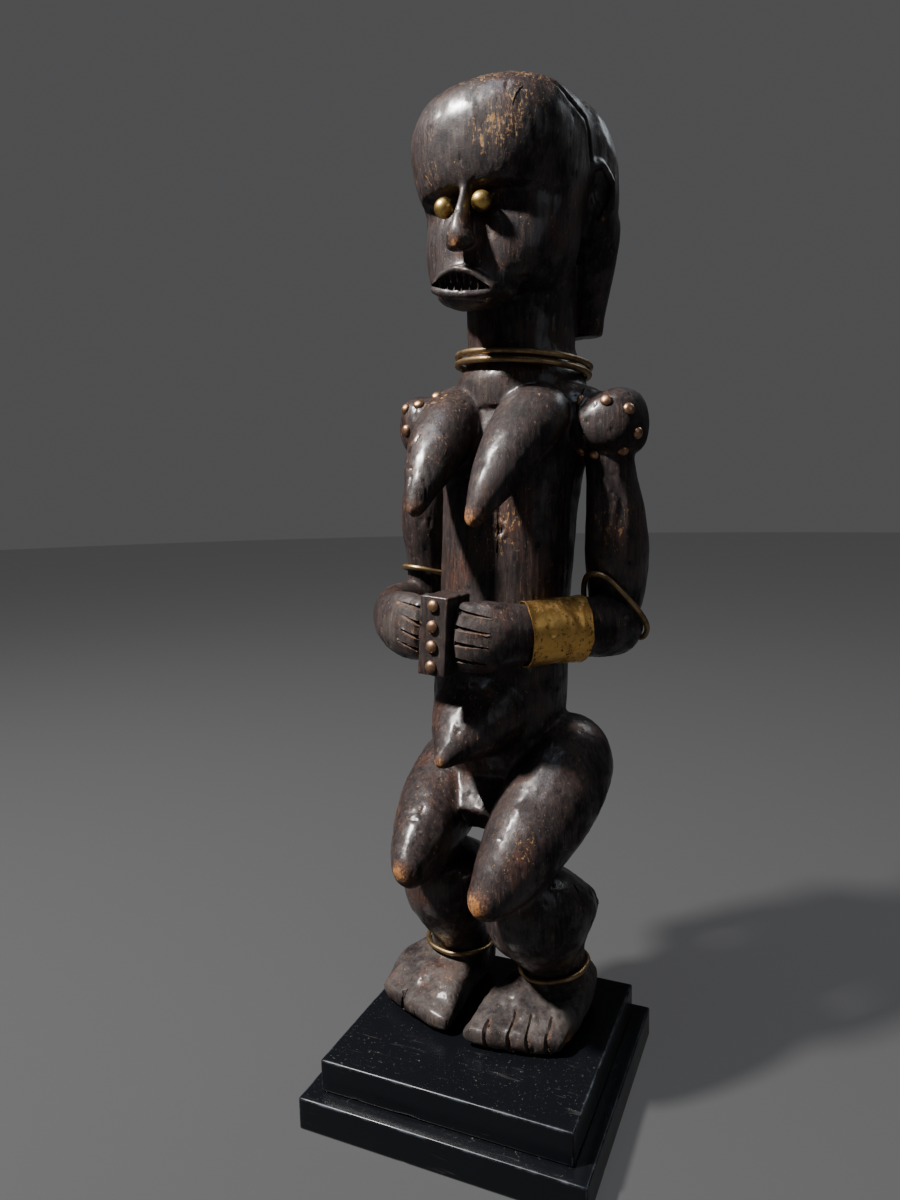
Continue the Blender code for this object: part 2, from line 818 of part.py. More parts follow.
def figure():
    """The wood, with its crisp carving, and the metal let into it."""
    body = carved_body()
    bm = bmesh.new()
    block(bm)
    combine(body, cutter("block", bm), "UNION")
    combine(body, cutter("mouth", into_world(mouth_opening)), "DIFFERENCE")
    combine(body, cutter("teeth", into_world(teeth)), "UNION")
    for name, form in (("finger_grooves", finger_grooves), ("toe_grooves", toe_grooves)):
        combine(body, cutter(name, into_world(form)), "DIFFERENCE")

    skin = body.data
    places = [vert.co for vert in skin.vertices]
    tree = BVHTree.FromPolygons(places, [face.vertices for face in skin.polygons])
    ground = bmesh.new()
    bmesh.ops.create_cube(ground, size=1)
    bmesh.ops.scale(ground, vec=(1, 1, 0.05), verts=ground.verts)
    bmesh.ops.translate(ground, vec=(0, 0, PLINTH_TOP + CLEARANCE - 0.025), verts=ground.verts)
    combine(body, cutter("ground", ground), "DIFFERENCE")

    for name, place in EYES.items():
        let_in(body, name, lambda bm, grow: eye(bm, place, grow))
    for name, (place, out) in tacks(tree).items():
        let_in(body, name, lambda bm, grow: tack(bm, place, out, grow))
    for name, (points, radius) in rings(tree).items():
        bm = bmesh.new()
        wire(bm, points, radius, 6)
        finish(name, bm, BRASS)

    cuff(tree)
    body.data.shade_smooth()
    body.data.set_sharp_from_angle(angle=math.radians(40))


def board(name, width, depth, thickness, bottom):
    bm = bmesh.new()
    bmesh.ops.create_cube(bm, size=1)
    bmesh.ops.scale(bm, vec=(width, depth, thickness), verts=bm.verts)
    bmesh.ops.translate(bm, vec=(0, 0, bottom + thickness / 2), verts=bm.verts)
    bmesh.ops.bevel(bm, geom=bm.edges, offset=BOARD_BEVEL, segments=1, affect="EDGES")
    return finish(name, bm, LACQUER)


def plinth():
    board("plinth_lower_board", LOWER_BOARD_WIDTH, LOWER_BOARD_DEPTH, LOWER_BOARD_THICKNESS, 0)
    board(
        "plinth_upper_board",
        UPPER_BOARD_WIDTH,
        UPPER_BOARD_DEPTH,
        UPPER_BOARD_THICKNESS,
        LOWER_BOARD_THICKNESS + CLEARANCE,
    )


def centre_on_origin():
    """Moves every piece alike, so that the origin lies below the middle of the whole."""
    pieces = [obj for obj in bpy.data.objects if not obj.hide_render]
    places = np.array([vert.co for obj in pieces for vert in obj.data.vertices])
    middle = (places.min(axis=0) + places.max(axis=0)) / 2
    for obj in pieces:
        obj.data.transform(Matrix.Translation((-middle[0], -middle[1], 0)))


def main():
    clear_scene()
    plinth()
    figure()
    centre_on_origin()


if __name__ == "__main__":
    main()
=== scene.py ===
"""A carved reliquary guardian figure on a stepped plinth, in wood, brass and lacquer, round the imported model.

Metres, +Z up. The figure faces -Y. The origin is at the height of the plinth's underside, below the middle of
the whole, and the plinth's own middle is at SHIFT. The wood's forms are drawn in units of their own.
"""

import itertools
import math

import bmesh
import bpy
import numpy as np
from mathutils import Matrix, Vector
from mathutils.bvhtree import BVHTree


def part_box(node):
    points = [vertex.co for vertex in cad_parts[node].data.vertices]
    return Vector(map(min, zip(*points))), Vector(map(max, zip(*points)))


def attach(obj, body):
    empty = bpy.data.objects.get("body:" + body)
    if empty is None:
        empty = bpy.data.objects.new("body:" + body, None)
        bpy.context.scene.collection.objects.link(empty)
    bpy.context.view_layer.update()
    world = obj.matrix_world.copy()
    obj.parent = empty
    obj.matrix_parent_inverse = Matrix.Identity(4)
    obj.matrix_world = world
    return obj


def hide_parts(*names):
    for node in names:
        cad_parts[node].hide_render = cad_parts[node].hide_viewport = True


bl_info = {
    "name": "Reliquary Figure", "version": (1, 0, 0), "blender": (4, 5, 0),
    "location": "View3D > Sidebar > Reliquary",
    "description": "A carved reliquary figure with its brass, its plinth and a plain stage",
    "category": "Add Mesh",
}

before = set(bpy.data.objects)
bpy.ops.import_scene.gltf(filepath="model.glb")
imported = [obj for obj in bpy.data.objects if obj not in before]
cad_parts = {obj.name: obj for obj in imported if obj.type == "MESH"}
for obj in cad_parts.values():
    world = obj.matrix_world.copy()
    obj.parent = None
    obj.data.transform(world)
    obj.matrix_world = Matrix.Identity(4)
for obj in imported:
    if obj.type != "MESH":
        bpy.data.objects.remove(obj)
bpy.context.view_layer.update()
BODY = "root"

LOWER_BOARD = (0.175, 0.167, 0.020)
UPPER_BOARD = (0.155, 0.147, 0.020)
CLEARANCE = 0.0003
FIGURE_HEIGHT = 0.568

# The figure's forms are shares of its height: they are drawn FORM_HEIGHT units high, from the soles up.
FORM_HEIGHT = 568
UNIT = FIGURE_HEIGHT / FORM_HEIGHT
TURN = math.radians(-7)
TURN_CENTRE_Y = 40
SWAY = 0.03
SWAY_FROM = 200
NECK = 34
ANKLE = 20.5
UPPER_BOTTOM = LOWER_BOARD[2] + CLEARANCE
PLINTH_TOP = UPPER_BOTTOM + UPPER_BOARD[2]

X_AXIS = (1, 0, 0)
Y_AXIS = (0, 1, 0)
Z_AXIS = (0, 0, 1)

TOE_SLANT = 0.38
MOUTH_MIDDLE = -3
MOUTH_HALF_WIDTH = 20
MOUTH_FRONT = -17
MOUTH_WRAP = 4
MOUTH_CORNER = 446.5
MOUTH_ARCH = 9.5
MOUTH_SAG = -3
MOUTH_TILT = 0.17
MOUTH_DEPTH = 7
UPPER_LIP = 2.6
LOWER_LIP = 0.6
# Where painted shade keeps the inside of the mouth dark, by holding back the wear colour there: the middle, how
# it is stretched, and its reach.
MOUTH_SHADE = ((-3, -12, 448), (2.6, 1, 1), 7.5)
# Below these heights the wood gets dusty, the second one wholly.
DUSTY_FROM, DUSTY_AT = 48, 36
# Cuts between fingers and between toes: x and z of the deep end and of the point, half width and depth.
FINGER_CUTS = (
    (10, 268.5, 29, 264.5, 1.3, 3.0), (10, 259.5, 29, 256.0, 1.3, 3.0), (10, 250.5, 28, 248.0, 1.3, 3.0),
    (10, 241.0, 26, 238.4, 1.3, 3.0), (-11, 269.0, -30, 272.0, 1.2, 2.8),
    (-11, 260.0, -24, 264.5, 1.2, 2.8), (-11, 252.0, -24, 256.0, 1.2, 2.8),
    (-12, 244.5, -28, 249.5, 1.2, 2.8)
)
TOE_CUTS = (
    (20.0, 1.5, 18.5, 17.0, 1.1, 3.6), (34.0, 1.5, 32.0, 20.5, 1.1, 3.6), (45.0, 1.5, 41.5, 20.5, 1.1, 3.6),
    (55.0, 1.5, 53.0, 20.5, 1.1, 3.6), (-46, 2.0, -45, 15.5, 1.2, 2.6), (-33, 1.5, -33, 9.0, 0.6, 1.0)
)
BLOCK_CENTRE = (-2.5, -33, 254)
BLOCK_TILT = math.radians(4)
BLOCK = (0.0185, 0.026, 0.046)
BLOCK_TACKS = 4
EYE_RADIUS = 0.0056
EYES = {"eye_left": (10, -17, 489), "eye_right": (-13.5, -17, 489.5)}
TACK_HEAD_RADIUS = 0.0035
TACK_HEAD_HEIGHT = 0.0024
TACK_SEAT = 0.0004
LEFT_SHOULDER = (62, 48, 372)
RIGHT_SHOULDER = (-60, 48, 374)
LEFT_TACKS = ((-40, 34), (16, 30), (50, 16), (66, -17), (48, -44), (-12, -50), (-50, -42))
RIGHT_TACKS = ((-28, 34), (0, 42), (38, 44), (-20, 0), (-6, -32))
# The neck ring's middle, the way it faces, its radius, the rise in a turn, the turns, and where it starts.
NECK_COIL = ((3, 52.5, 412), (0.06, 0.06, 1), 0.0410, 0.0049, 1.95, -40)
COIL_STEPS = 96
RING_SEAT = 0.0003
WIRE_SIDES = 14
# Name: a place in the ring's plane, the way it faces, the wire's radius, and its start and sweep in degrees.
TIGHT_RINGS = {
    "arm_ring_left": ((67, 52, 255), (0.21, 0.78, 0.59), 0.0017, -40, 250),
    "arm_ring_right": ((-65, 53, 279), (0.1, 0.25, 0.96), 0.0017, -80, 340),
    "ankle_ring_left": ((40, 26, 36), (-0.1, -0.05, 1), 0.0016, -80, 340),
    "ankle_ring_right": ((-29, 28, 34), (0, 0, 1), 0.0016, -80, 340),
}
# The cuff's middle is so many steps along the forearm's line, which has FOREARM_STEPS to each station.
CUFF_STEP = 18
FOREARM_STEPS = 6
CUFF_LENGTH = 0.037
CUFF_ROWS = 31
CUFF_SIDES = 120
CUFF_LAP = math.radians(200)
LEFT_FOREARM = [
    (74, 62, 251, 15, 15), (71, 46, 252, 19, 17), (62, 26, 253, 18.5, 13.5), (48.5, 3.5, 253.5, 18, 12),
    (35.5, -14.5, 253, 18, 11.5), (23, -27, 252.5, 21, 12), (4, -36, 252.5, 20, 10),
]
RIGHT_FOREARM = [
    (-74, 62, 251, 16, 15), (-75, 45, 254, 19, 18), (-70, 22.5, 256, 19, 15), (-60, 0.5, 257, 18, 13.5),
    (-46, -18, 257, 18, 12.5), (-30, -31, 257, 20, 12), (-8, -37, 256, 19, 10),
]


def shift():
    """How far the plinth's middle lies from the frame's origin."""
    low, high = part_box("plinth_lower_board")
    return Vector(((low.x + high.x) / 2, (low.y + high.y) / 2, 0))


SHIFT = shift()


def settings():
    scene = bpy.context.scene
    return scene.reliquary_sizes, scene.reliquary_colours


class Value:
    """A socket of a material's nodes, which adds Math nodes as Python's operators are used on it."""

    def __init__(self, tree, socket=None):
        self.tree = tree
        self.socket = socket

    def node(self, kind, options=None, feeds=None, output=0):
        """Any other node: its options are set first, then its sockets are fed with values or links."""
        made = self.tree.nodes.new("ShaderNode" + kind)
        for name, option in (options or {}).items():
            setattr(made, name, option)
        for name, feed in (feeds or {}).items():
            socket = made.inputs[name]
            if isinstance(feed, Value):
                self.tree.links.new(feed.socket, socket)
            elif isinstance(feed, (int, float)) or len(feed) == len(socket.default_value):
                socket.default_value = feed
            else:
                socket.default_value = (*feed, 1)
        return Value(self.tree, made.outputs[output])

    def sum(self, operation, first, second, clamp=False):
        return self.node("Math", {"operation": operation, "use_clamp": clamp}, {0: first, 1: second})

    def __add__(self, other):
        return self.sum("ADD", self, other)

    def __sub__(self, other):
        return self.sum("SUBTRACT", self, other)

    def __rsub__(self, other):
        return self.sum("SUBTRACT", other, self)

    def __mul__(self, other):
        return self.sum("MULTIPLY", self, other)

    __radd__ = __add__
    __rmul__ = __mul__

    def least(self, other):
        return self.sum("MINIMUM", self, other)

    def most(self, other):
        return self.sum("MAXIMUM", self, other)

    def held(self):
        """The value kept between 0 and 1."""
        return self.sum("ADD", self, 0.0, clamp=True)

    def step(self, low, high):
        """0 below low and 1 above high, with a soft rise between them."""
        return self.node("MapRange", {"interpolation_type": "SMOOTHSTEP"}, {
            "Value": self, "From Min": low, "From Max": high, "To Min": 0.0, "To Max": 1.0,
        })

    def spread(self, low, high):
        """The value from 0 to 1, stretched to run from low to high."""
        return self * (high - low) + low

    def stretched(self, sides):
        return self.node("VectorMath", {"operation": "MULTIPLY"}, {0: self, 1: sides})

    def noise(self, scale, detail=3.0, roughness=0.55, bend=0.0):
        feeds = {"Vector": self, "Scale": scale, "Detail": detail, "Roughness": roughness, "Distortion": bend}
        return self.node("TexNoise", {}, feeds)

    def tint(self, low, high):
        """The colour low where the value is 0 and high where it is 1."""
        return self.node("Mix", {"data_type": "RGBA"}, {0: self, 6: low, 7: high}, output=2)

    def bump(self, height, distance, strength=1.0, over=None):
        feeds = {"Height": height, "Distance": distance, "Strength": strength}
        if over:
            feeds["Normal"] = over
        return self.node("Bump", {}, feeds)


def new_finish(name):
    """A material's shader, a Value for its object coordinates, and the material."""
    made = bpy.data.materials.new(name)
    made.use_nodes = True
    tree = made.node_tree
    at = Value(tree).node("TexCoord", output="Object")
    return made, tree.nodes["Principled BSDF"], at


def wire_up(shader, feeds):
    """Feeds the shader's sockets: what is the same all over is set, and what changes is linked."""
    for name, feed in feeds.items():
        socket = shader.inputs[name]
        if isinstance(feed, Value):
            feed.tree.links.new(feed.socket, socket)
        else:
            socket.default_value = feed


def marked(at, name):
    """A value that was written on the piece's points."""
    return at.node("Attribute", {"attribute_name": name}, output="Fac")


def wood_finish(colours):
    """Black patina over brown wood, with the grain standing upright, pale wood where it is worn, and a painted
    highlight in the same pale tints on the lit walls of the finger and toe cuts.
    """
    made, shader, at = new_finish("aged_wood_patina")
    worn_and_lit, scraped, hollow = (marked(at, name) for name in ("worn_and_lit", "scraped", "hollow"))
    grain = at.stretched((1, 1, 0.10)).noise(420, 6, 0.68, 0.5)
    lines = at.stretched((1, 1, 0.06)).noise(900, 3, 0.6)
    clouds = at.noise(24, 5, 0.62)
    warm = at.noise(60, 5, 0.7)
    speckle = at.noise(520, 5, 0.82)
    pores = at.noise(1200, 2, 0.7)
    scratches = at.stretched((1, 1, 0.3)).noise(300, 6, 0.78, 1.6)
    base = (grain * 2.6 + warm * 1.2 - 1.45).held().tint(colours.wood_black, colours.wood_brown)
    redness = (clouds.step(0.50, 0.62) * grain.step(0.36, 0.60) * 0.8).held()
    base = redness.tint(base, colours.wood_red)
    flecks = (lines.step(0.57, 0.68) * warm.step(0.40, 0.60) * 0.6).held()
    base = flecks.tint(base, colours.wood_fleck)
    # The wear mark also carries the painted highlight on the lit walls of the finger and toe cuts, so the
    # rubbed and bare tints below paint that highlight too.
    wear_and_lit = worn_and_lit + (speckle - 0.5) * 1.3 + (scratches - 0.5) * 1.1
    rubbed_and_lit = wear_and_lit.step(0.34, 0.66)
    base = (rubbed_and_lit * 0.85).tint(base, colours.wood_rubbed)
    bare = wear_and_lit.step(0.66, 0.84)
    base = (bare * 0.9).tint(base, colours.wood_worn)
    chips = (scratches * 0.6 + speckle * 0.4 + scraped * 0.09 + clouds * 0.12).step(0.65, 0.69)
    base = (chips * 0.85).tint(base, colours.wood_scraped)
    dust = (hollow * warm.step(0.35, 0.6) * 0.3).held()
    base = dust.tint(base, colours.dust)
    sheen = (clouds * 1.2 + warm * 0.8 - 0.5).step(0.34, 0.62) * (1 - wear_and_lit.step(0.2, 0.6)) * (1 - chips)
    sheen = sheen * (1 - hollow * 0.9).held()
    rough = (1 - sheen).spread(0.34, 0.62) + speckle * 0.10
    fibres = at.bump(grain * 0.7 + lines * 0.3, 0.0006, 0.6)
    pitted = pores.step(0.34, 0.44) * 0.3 + speckle * 0.9 - chips * 0.25
    pits = at.bump(pitted, 0.0006, 0.6, over=fibres)
    wire_up(shader, {
        "Base Color": base, "Roughness": rough.held(), "Normal": pits, "Specular IOR Level": 0.24,
        "Coat Weight": sheen * 0.7, "Coat Roughness": 0.26,
    })
    return made


def brass_finish(name, bright, dark, shine, fleck_scale):
    """Old brass, dull and brown in its hollows, and rubbed bright in places."""
    made, shader, at = new_finish(name)
    clouds = at.noise(fleck_scale, 4, 0.6)
    flecks = at.noise(fleck_scale * 9, 3, 0.7)
    dirt = (clouds.step(0.42, 0.66) * 0.6 + flecks.step(0.56, 0.68) * 0.55).held()
    dents = at.bump(clouds * 0.7 + flecks * 0.3, 0.0006, 0.35)
    wire_up(shader, {
        "Base Color": dirt.tint(bright, dark), "Metallic": dirt.spread(1.0, 0.72),
        "Roughness": (clouds.spread(shine, shine + 0.16) + dirt * 0.14).held(), "Normal": dents,
    })
    return made


def cuff_finish(colours):
    """Sheet brass, golden, with black specks and brown stains along its edges."""
    made, shader, at = new_finish("sheet_brass_pitted")
    clouds = at.noise(60, 5, 0.65)
    fine = at.noise(420, 4, 0.75)
    edge = marked(at, "edge")
    stains = (clouds.step(0.48, 0.66) * 0.55 + edge * fine.step(0.4, 0.6) * 0.6).held()
    specks = ((fine + clouds * 0.35).step(0.73, 0.80) * 0.9).held()
    colour = stains.tint(colours.sheet, colours.sheet_brown)
    colour = specks.tint(colour, colours.sheet_speck)
    wire_up(shader, {
        "Base Color": colour, "Metallic": (1 - specks * 0.7).held(),
        "Roughness": (clouds.spread(0.24, 0.50) + specks * 0.25).held(),
        "Normal": at.bump(clouds * 0.6 - specks * 0.25 + fine * 0.3, 0.0008, 0.4),
    })
    return made


def lacquer_finish(colours, name, size, bottom):
    """Black lacquer on one board: dusty on top, scuffed, and rubbed pale along its edges."""
    made, shader, at = new_finish(name)
    width, depth, height = size
    moved = at.node(
        "VectorMath", {"operation": "SUBTRACT"}, {0: at, 1: (SHIFT.x, SHIFT.y, bottom + height / 2)}
    )
    sides = moved.node("SeparateXYZ", feeds={0: moved})
    gaps = []
    for axis, half in zip("XYZ", (width / 2, depth / 2, height / 2)):
        along = Value(at.tree, sides.socket.node.outputs[axis])
        gaps.append(half - along.sum("ABSOLUTE", along, 0.0))
    nearest = gaps[0].least(gaps[1]).least(gaps[2])
    farthest = gaps[0].most(gaps[1]).most(gaps[2])
    to_edge = gaps[0] + gaps[1] + gaps[2] - nearest - farthest
    rubs = at.noise(90, 5, 0.7)
    edge = ((1 - to_edge.step(0.0003, 0.0016)) * rubs.step(0.42, 0.66)).held()
    top = gaps[2].step(0.004, 0.0)
    dust = at.noise(420, 6, 0.8)
    patches = at.noise(22, 3, 0.6)
    motes = (top * dust.step(0.60, 0.66) * patches.step(0.40, 0.62)).held()
    streaks = at.stretched((0.12, 1, 1)).noise(260, 3, 0.6, 0.6)
    scuffs = (streaks.step(0.62, 0.70) * patches.step(0.45, 0.6)).held()
    colour = (motes * 0.45 + scuffs * 0.08).held().tint(colours.lacquer, colours.dust)
    colour = (edge * 0.7).tint(colour, colours.lacquer_rubbed)
    wire_up(shader, {
        "Base Color": colour,
        "Roughness": (patches.spread(0.20, 0.38) + motes * 0.4 + scuffs * 0.2 + edge * 0.15).held(),
        "Normal": at.bump(streaks * 0.4 + dust * 0.2, 0.0002, 0.25), "Specular IOR Level": 0.28,
    })
    return made


def floor_finish(name, colour):
    """A plain grey that keeps its tone far from the lights."""
    made, shader, at = new_finish(name)
    shade = at.noise(2.0, 3, 0.5).spread(0.97, 1.0).tint((0, 0, 0, 1), colour)
    wire_up(shader, {"Base Color": tuple(0.35 * part for part in colour[:3]) + (1,), "Roughness": 0.9})
    wire_up(shader, {"Specular IOR Level": 0.1, "Emission Color": shade, "Emission Strength": 0.6})
    return made


def mesh_from(name, bm):
    mesh = bpy.data.meshes.new(name)
    bm.to_mesh(mesh)
    bm.free()
    return mesh


def linked(name, data):
    obj = bpy.data.objects.new(name, data)
    bpy.context.scene.collection.objects.link(obj)
    return obj


def place_piece(name, bm, finish, nodes, sharp=40):
    """The bmesh as a finished piece that rides on the body and stands for its nodes."""
    bmesh.ops.recalc_face_normals(bm, faces=bm.faces)
    return settle(name, mesh_from(name, bm), finish, nodes, sharp)


def settle(name, mesh, finish, nodes, sharp=40):
    mesh.shade_smooth()
    mesh.set_sharp_from_angle(angle=math.radians(sharp))
    mesh.materials.clear()
    mesh.materials.append(finish)
    piece = linked(name, mesh)
    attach(piece, BODY)
    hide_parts(*nodes)
    return piece


def value_noise(points, size, seed):
    """Smooth noise from -1 to 1 at the points, with features about size across."""
    grid = np.random.default_rng(seed).uniform(-1, 1, (32, 32, 32))
    scaled = np.asarray(points) / size
    cell = np.floor(scaled).astype(int)
    t = scaled - cell
    t = t * t * (3 - 2 * t)
    total = np.zeros(len(scaled))
    for corner in itertools.product((0, 1), repeat=3):
        weight = np.prod(np.where(corner, t, 1 - t), axis=1)
        x, y, z = ((cell + corner) % 32).T
        total += weight * grid[x, y, z]
    return total


def scoops(points, size, seed):
    """Shallow scoops as an adze leaves them: 0 in their middles, and 1 at the ridges where they meet."""
    middles = np.random.default_rng(seed).uniform(0, 1, (24, 24, 24, 3))
    scaled = np.asarray(points) / size
    cell = np.floor(scaled).astype(int)
    least = np.full(len(scaled), 9.0)
    for step in itertools.product((-1, 0, 1), repeat=3):
        there = cell + step
        x, y, z = (there % 24).T
        least = np.minimum(least, np.sum((there + middles[x, y, z] - scaled) ** 2, axis=1))
    return np.clip(least, 0, 1)


def soft_step(values, low, high):
    t = np.clip((values - low) / (high - low), 0, 1)
    return t * t * (3 - 2 * t)


def far_from_line(points, line):
    """How far each point is from a line through a few places."""
    line = np.array(line, float)
    found = np.full(len(points), 1e9)
    for start, end in zip(line, line[1:]):
        along = end - start
        share = np.clip((points - start) @ along / (along @ along), 0, 1)
        found = np.minimum(found, np.linalg.norm(points - start - share[:, None] * along, axis=1))
    return found


def mirrored(line):
    return [(-x, y, z) for x, y, z in line]


HOOD_SEAM = [
    (34, -4, 558), (40, 6, 551), (46, 14, 544), (49, 31, 539), (50.5, 36, 523), (49, 43, 510), (46, 48, 500)
]
SEAM_BELOW = [(46, 48, 500), (45, 53, 487), (40, 62, 477), (34, 70, 465)]
EAR = [(49, 42, 516), (54, 49, 517.5), (56.5, 56, 510), (56, 57, 499), (52, 53, 490)]
EAR_HOLLOW = (50, 48.5, 505)
CHIPPED_TOE = (63, -6, 5)
ARM_RIDGE = [(66, 30, 339), (74, 32, 327), (69, 29, 301)]
KNOT = (11.8, 5.8, 310.9)
# A place, a radius, and how worn the wood is there.
WORN = (
    ((27, -51, 103), 12, 0.84), ((-24, -50, 110), 11, 0.84), ((-23, -35, 323), 11, 0.66),
    ((15.4, -35, 318), 12, 0.74), ((-3, -40, 178), 8, 0.76), ((0, -28, 467), 5, 0.8),
    ((-74, 45, 262), 20, 0.55), ((-70, 20, 268), 15, 0.5), ((40, 52, 400), 8, 0.4),
    ((-3, -21, 457), 6, 0.45), ((63, -4, 6), 8, 0.9), ((30, -36, 8), 12, 0.45), ((-38, -36, 8), 14, 0.5),
    ((46, 30, 560), 16, 0.4), ((20, 52, 566), 16, 0.5)
)
# A place, a radius, and how thickly the scrapes lie there.
SCRAPED = (
    ((20, -21, 522), 14, 1.0), ((30, -15, 532), 12, 0.9), ((8, -8, 554), 16, 0.8), ((26, 0, 556), 14, 0.9),
    ((-22, -22, 507), 9, 0.8), ((40, -14, 492), 9, 0.6), ((0, -22, 474), 20, 0.35),
    ((0, -20, 350), 26, 0.35), ((-30, 10, 385), 20, 0.5), ((40, 20, 385), 18, 0.4),
    ((10, -10, 205), 22, 0.4), ((38, -25, 140), 22, 0.3), ((-30, -20, 130), 20, 0.3),
    ((50, 30, 25), 22, 0.4), ((-35, -5, 15), 26, 0.1), ((12, 5, 310), 12, 0.6), ((70, 32, 318), 16, 0.5),
    ((40, 60, 545), 18, 0.5)
)
# A place, a radius, and how dull and dusty the wood is there.
MATTE = (
    ((0, 0, 410), 20, 0.8), ((20, -38, 253), 20, 0.6), ((-25, -38, 256), 20, 0.6), ((60, 0, 26), 9, 1.2)
)


def away(own, place, stretch=1):
    """How far each point is from a place, measured in stretched units."""
    return np.linalg.norm((own - place) / stretch, axis=1)


def hump(far, width, middle=0):
    """1 where far is at the middle, and falling to 0 on both sides of it."""
    return np.exp(-(((far - middle) / width) ** 2))


def spots(own, places):
    total = np.zeros(len(own))
    for place, radius, strength in places:
        total = np.maximum(total, strength * hump(away(own, place), radius))
    return total


def to_own(points):
    """Places in the frame as the figure's own units."""
    flat = (np.asarray(points) - np.array(SHIFT) - (0, 0, PLINTH_TOP)) / UNIT
    c, s = math.cos(-TURN), math.sin(-TURN)
    x, y = flat[:, 0], flat[:, 1] - TURN_CENTRE_Y
    own = np.column_stack([c * x - s * y, s * x + c * y + TURN_CENTRE_Y, flat[:, 2]])
    own[:, 0] -= SWAY * np.maximum(own[:, 2] - SWAY_FROM, 0)
    return own


def relief(own, sizes):
    """How far the wood stands out at each point, in metres: what the chisel, wear and age have left."""
    y, z = own.T[1:]
    out = np.zeros(len(own))
    polish = 0.45 + 0.55 * soft_step(value_noise(own, 60, 3), -0.4, 0.6)
    polish = np.where(z < 40, 1.6, polish)
    polish = np.where(z > 425, 0.55 * polish, polish)
    out += sizes.tool_marks * polish * (scoops(own / (1, 1, 1.7), 12, 5) - 0.5)
    out += sizes.tool_marks * 0.35 * polish * (scoops(own / (1, 1, 2.4), 5, 6) - 0.5)
    out += sizes.grain_depth * value_noise(own / (1, 1, 14), 1.3, 7)
    out += sizes.grain_depth * 0.9 * value_noise(own / (1, 1, 9), 2.6, 8)
    out += sizes.grain_depth * 1.2 * value_noise(own / (1, 1, 1.5), 4.5, 14)
    out -= 0.0003
    dents = soft_step(value_noise(own / (1, 1, 1.5), 3.4, 9), 0.62, 0.9)
    out -= 0.0006 * dents
    flaws = soft_step(value_noise(own / (1, 1, 5), 2.2, 10), 0.66, 0.85)
    out -= 0.0007 * flaws * soft_step(value_noise(own, 24, 11), 0.0, 0.4)
    for line in (HOOD_SEAM + SEAM_BELOW[1:], mirrored(HOOD_SEAM + SEAM_BELOW[1:])):
        far = far_from_line(own, line)
        out -= 0.0015 * hump(far, 1.3)
        out += 0.0006 * hump(far, 1.5, 3.4)
    for side in (1, -1):
        ear = np.array(EAR) * (side, 1, 1)
        out += 0.0012 * hump(far_from_line(own, ear), 2.0)
        out -= 0.0024 * hump(away(own, np.array(EAR_HOLLOW) * (side, 1, 1), (1, 1, 1.6)), 3.8)
    stub = hump(away(own, (4, 54, 564), (1.3, 2.4, 1)), 8)
    out += 0.0014 * stub * (value_noise(own, 2.4, 12) - 0.3)
    rough_foot = hump(away(own, (54, 6, 25), (1.4, 1, 1.2)), 9)
    out -= 0.0016 * rough_foot * (0.7 + value_noise(own, 3, 13))
    out -= 0.0016 * hump(away(own, CHIPPED_TOE), 4.5)
    ridge = far_from_line(own, ARM_RIDGE)
    out += 0.0009 * hump(ridge, 2.2)
    out -= 0.0007 * hump(ridge, 2.6, 5) * soft_step(-y, -40, -30)
    knot = away(own, KNOT)
    out -= 0.0022 * hump(knot, 2.0)
    out += 0.0005 * hump(knot, 1.5, 4.5)
    return out


def set_back(own):
    """How far the face is set back under the brow, straight towards the back of the head."""
    x, y, z = own.T
    under = soft_step(z, 499.5, 497.3) * soft_step(z, 476, 493)
    return 0.0034 * under * soft_step(y, 26, 8) * soft_step(np.abs(x), 50, 40) * soft_step(np.abs(x), 2, 7)


def curve_through(rows, per_span):
    """A smooth line through rows of numbers, with per_span steps between one row and the next."""
    rows = np.array(rows, float)
    ends = np.vstack([2 * rows[0] - rows[1], rows, 2 * rows[-1] - rows[-2]])
    line = []
    for a, b, c, d in zip(ends, ends[1:], ends[2:], ends[3:]):
        for t in np.arange(per_span) / per_span:
            line.append(b + 0.5 * t * (c - a + t * (2 * a - 5 * b + 4 * c - d + t * (3 * (b - c) + d - a))))
    line.append(rows[-1])
    return np.array(line)


def sections(stations, across, domes, level=False, per_span=10):
    """Centres, two unit vectors and two half sizes along a limb given by (x, y, z, half width, half depth).

    A section lies square to the limb, or level where the form is drawn height by height.
    """
    rows = curve_through(stations, per_span)
    centres, halves = rows[:, :3], np.maximum(rows[:, 3:], 0.4)
    along = np.gradient(centres, axis=0)
    if level:
        along[:] = Z_AXIS
    along /= np.linalg.norm(along, axis=1)[:, None]
    width = np.array(across, float) - (along @ np.array(across, float))[:, None] * along
    width /= np.linalg.norm(width, axis=1)[:, None]
    depth = np.cross(along, width)
    steps = np.linalg.norm(np.diff(centres, axis=0), axis=1)
    run = np.concatenate([[0], np.cumsum(steps)])
    for distance, dome in ((run, domes[0]), (run[-1] - run, domes[1])):
        if dome:
            rise = np.clip(distance / dome, 0.015, 1)
            halves = halves * np.sqrt(1 - (1 - rise) ** 2)[:, None]
    return centres, width, depth, halves


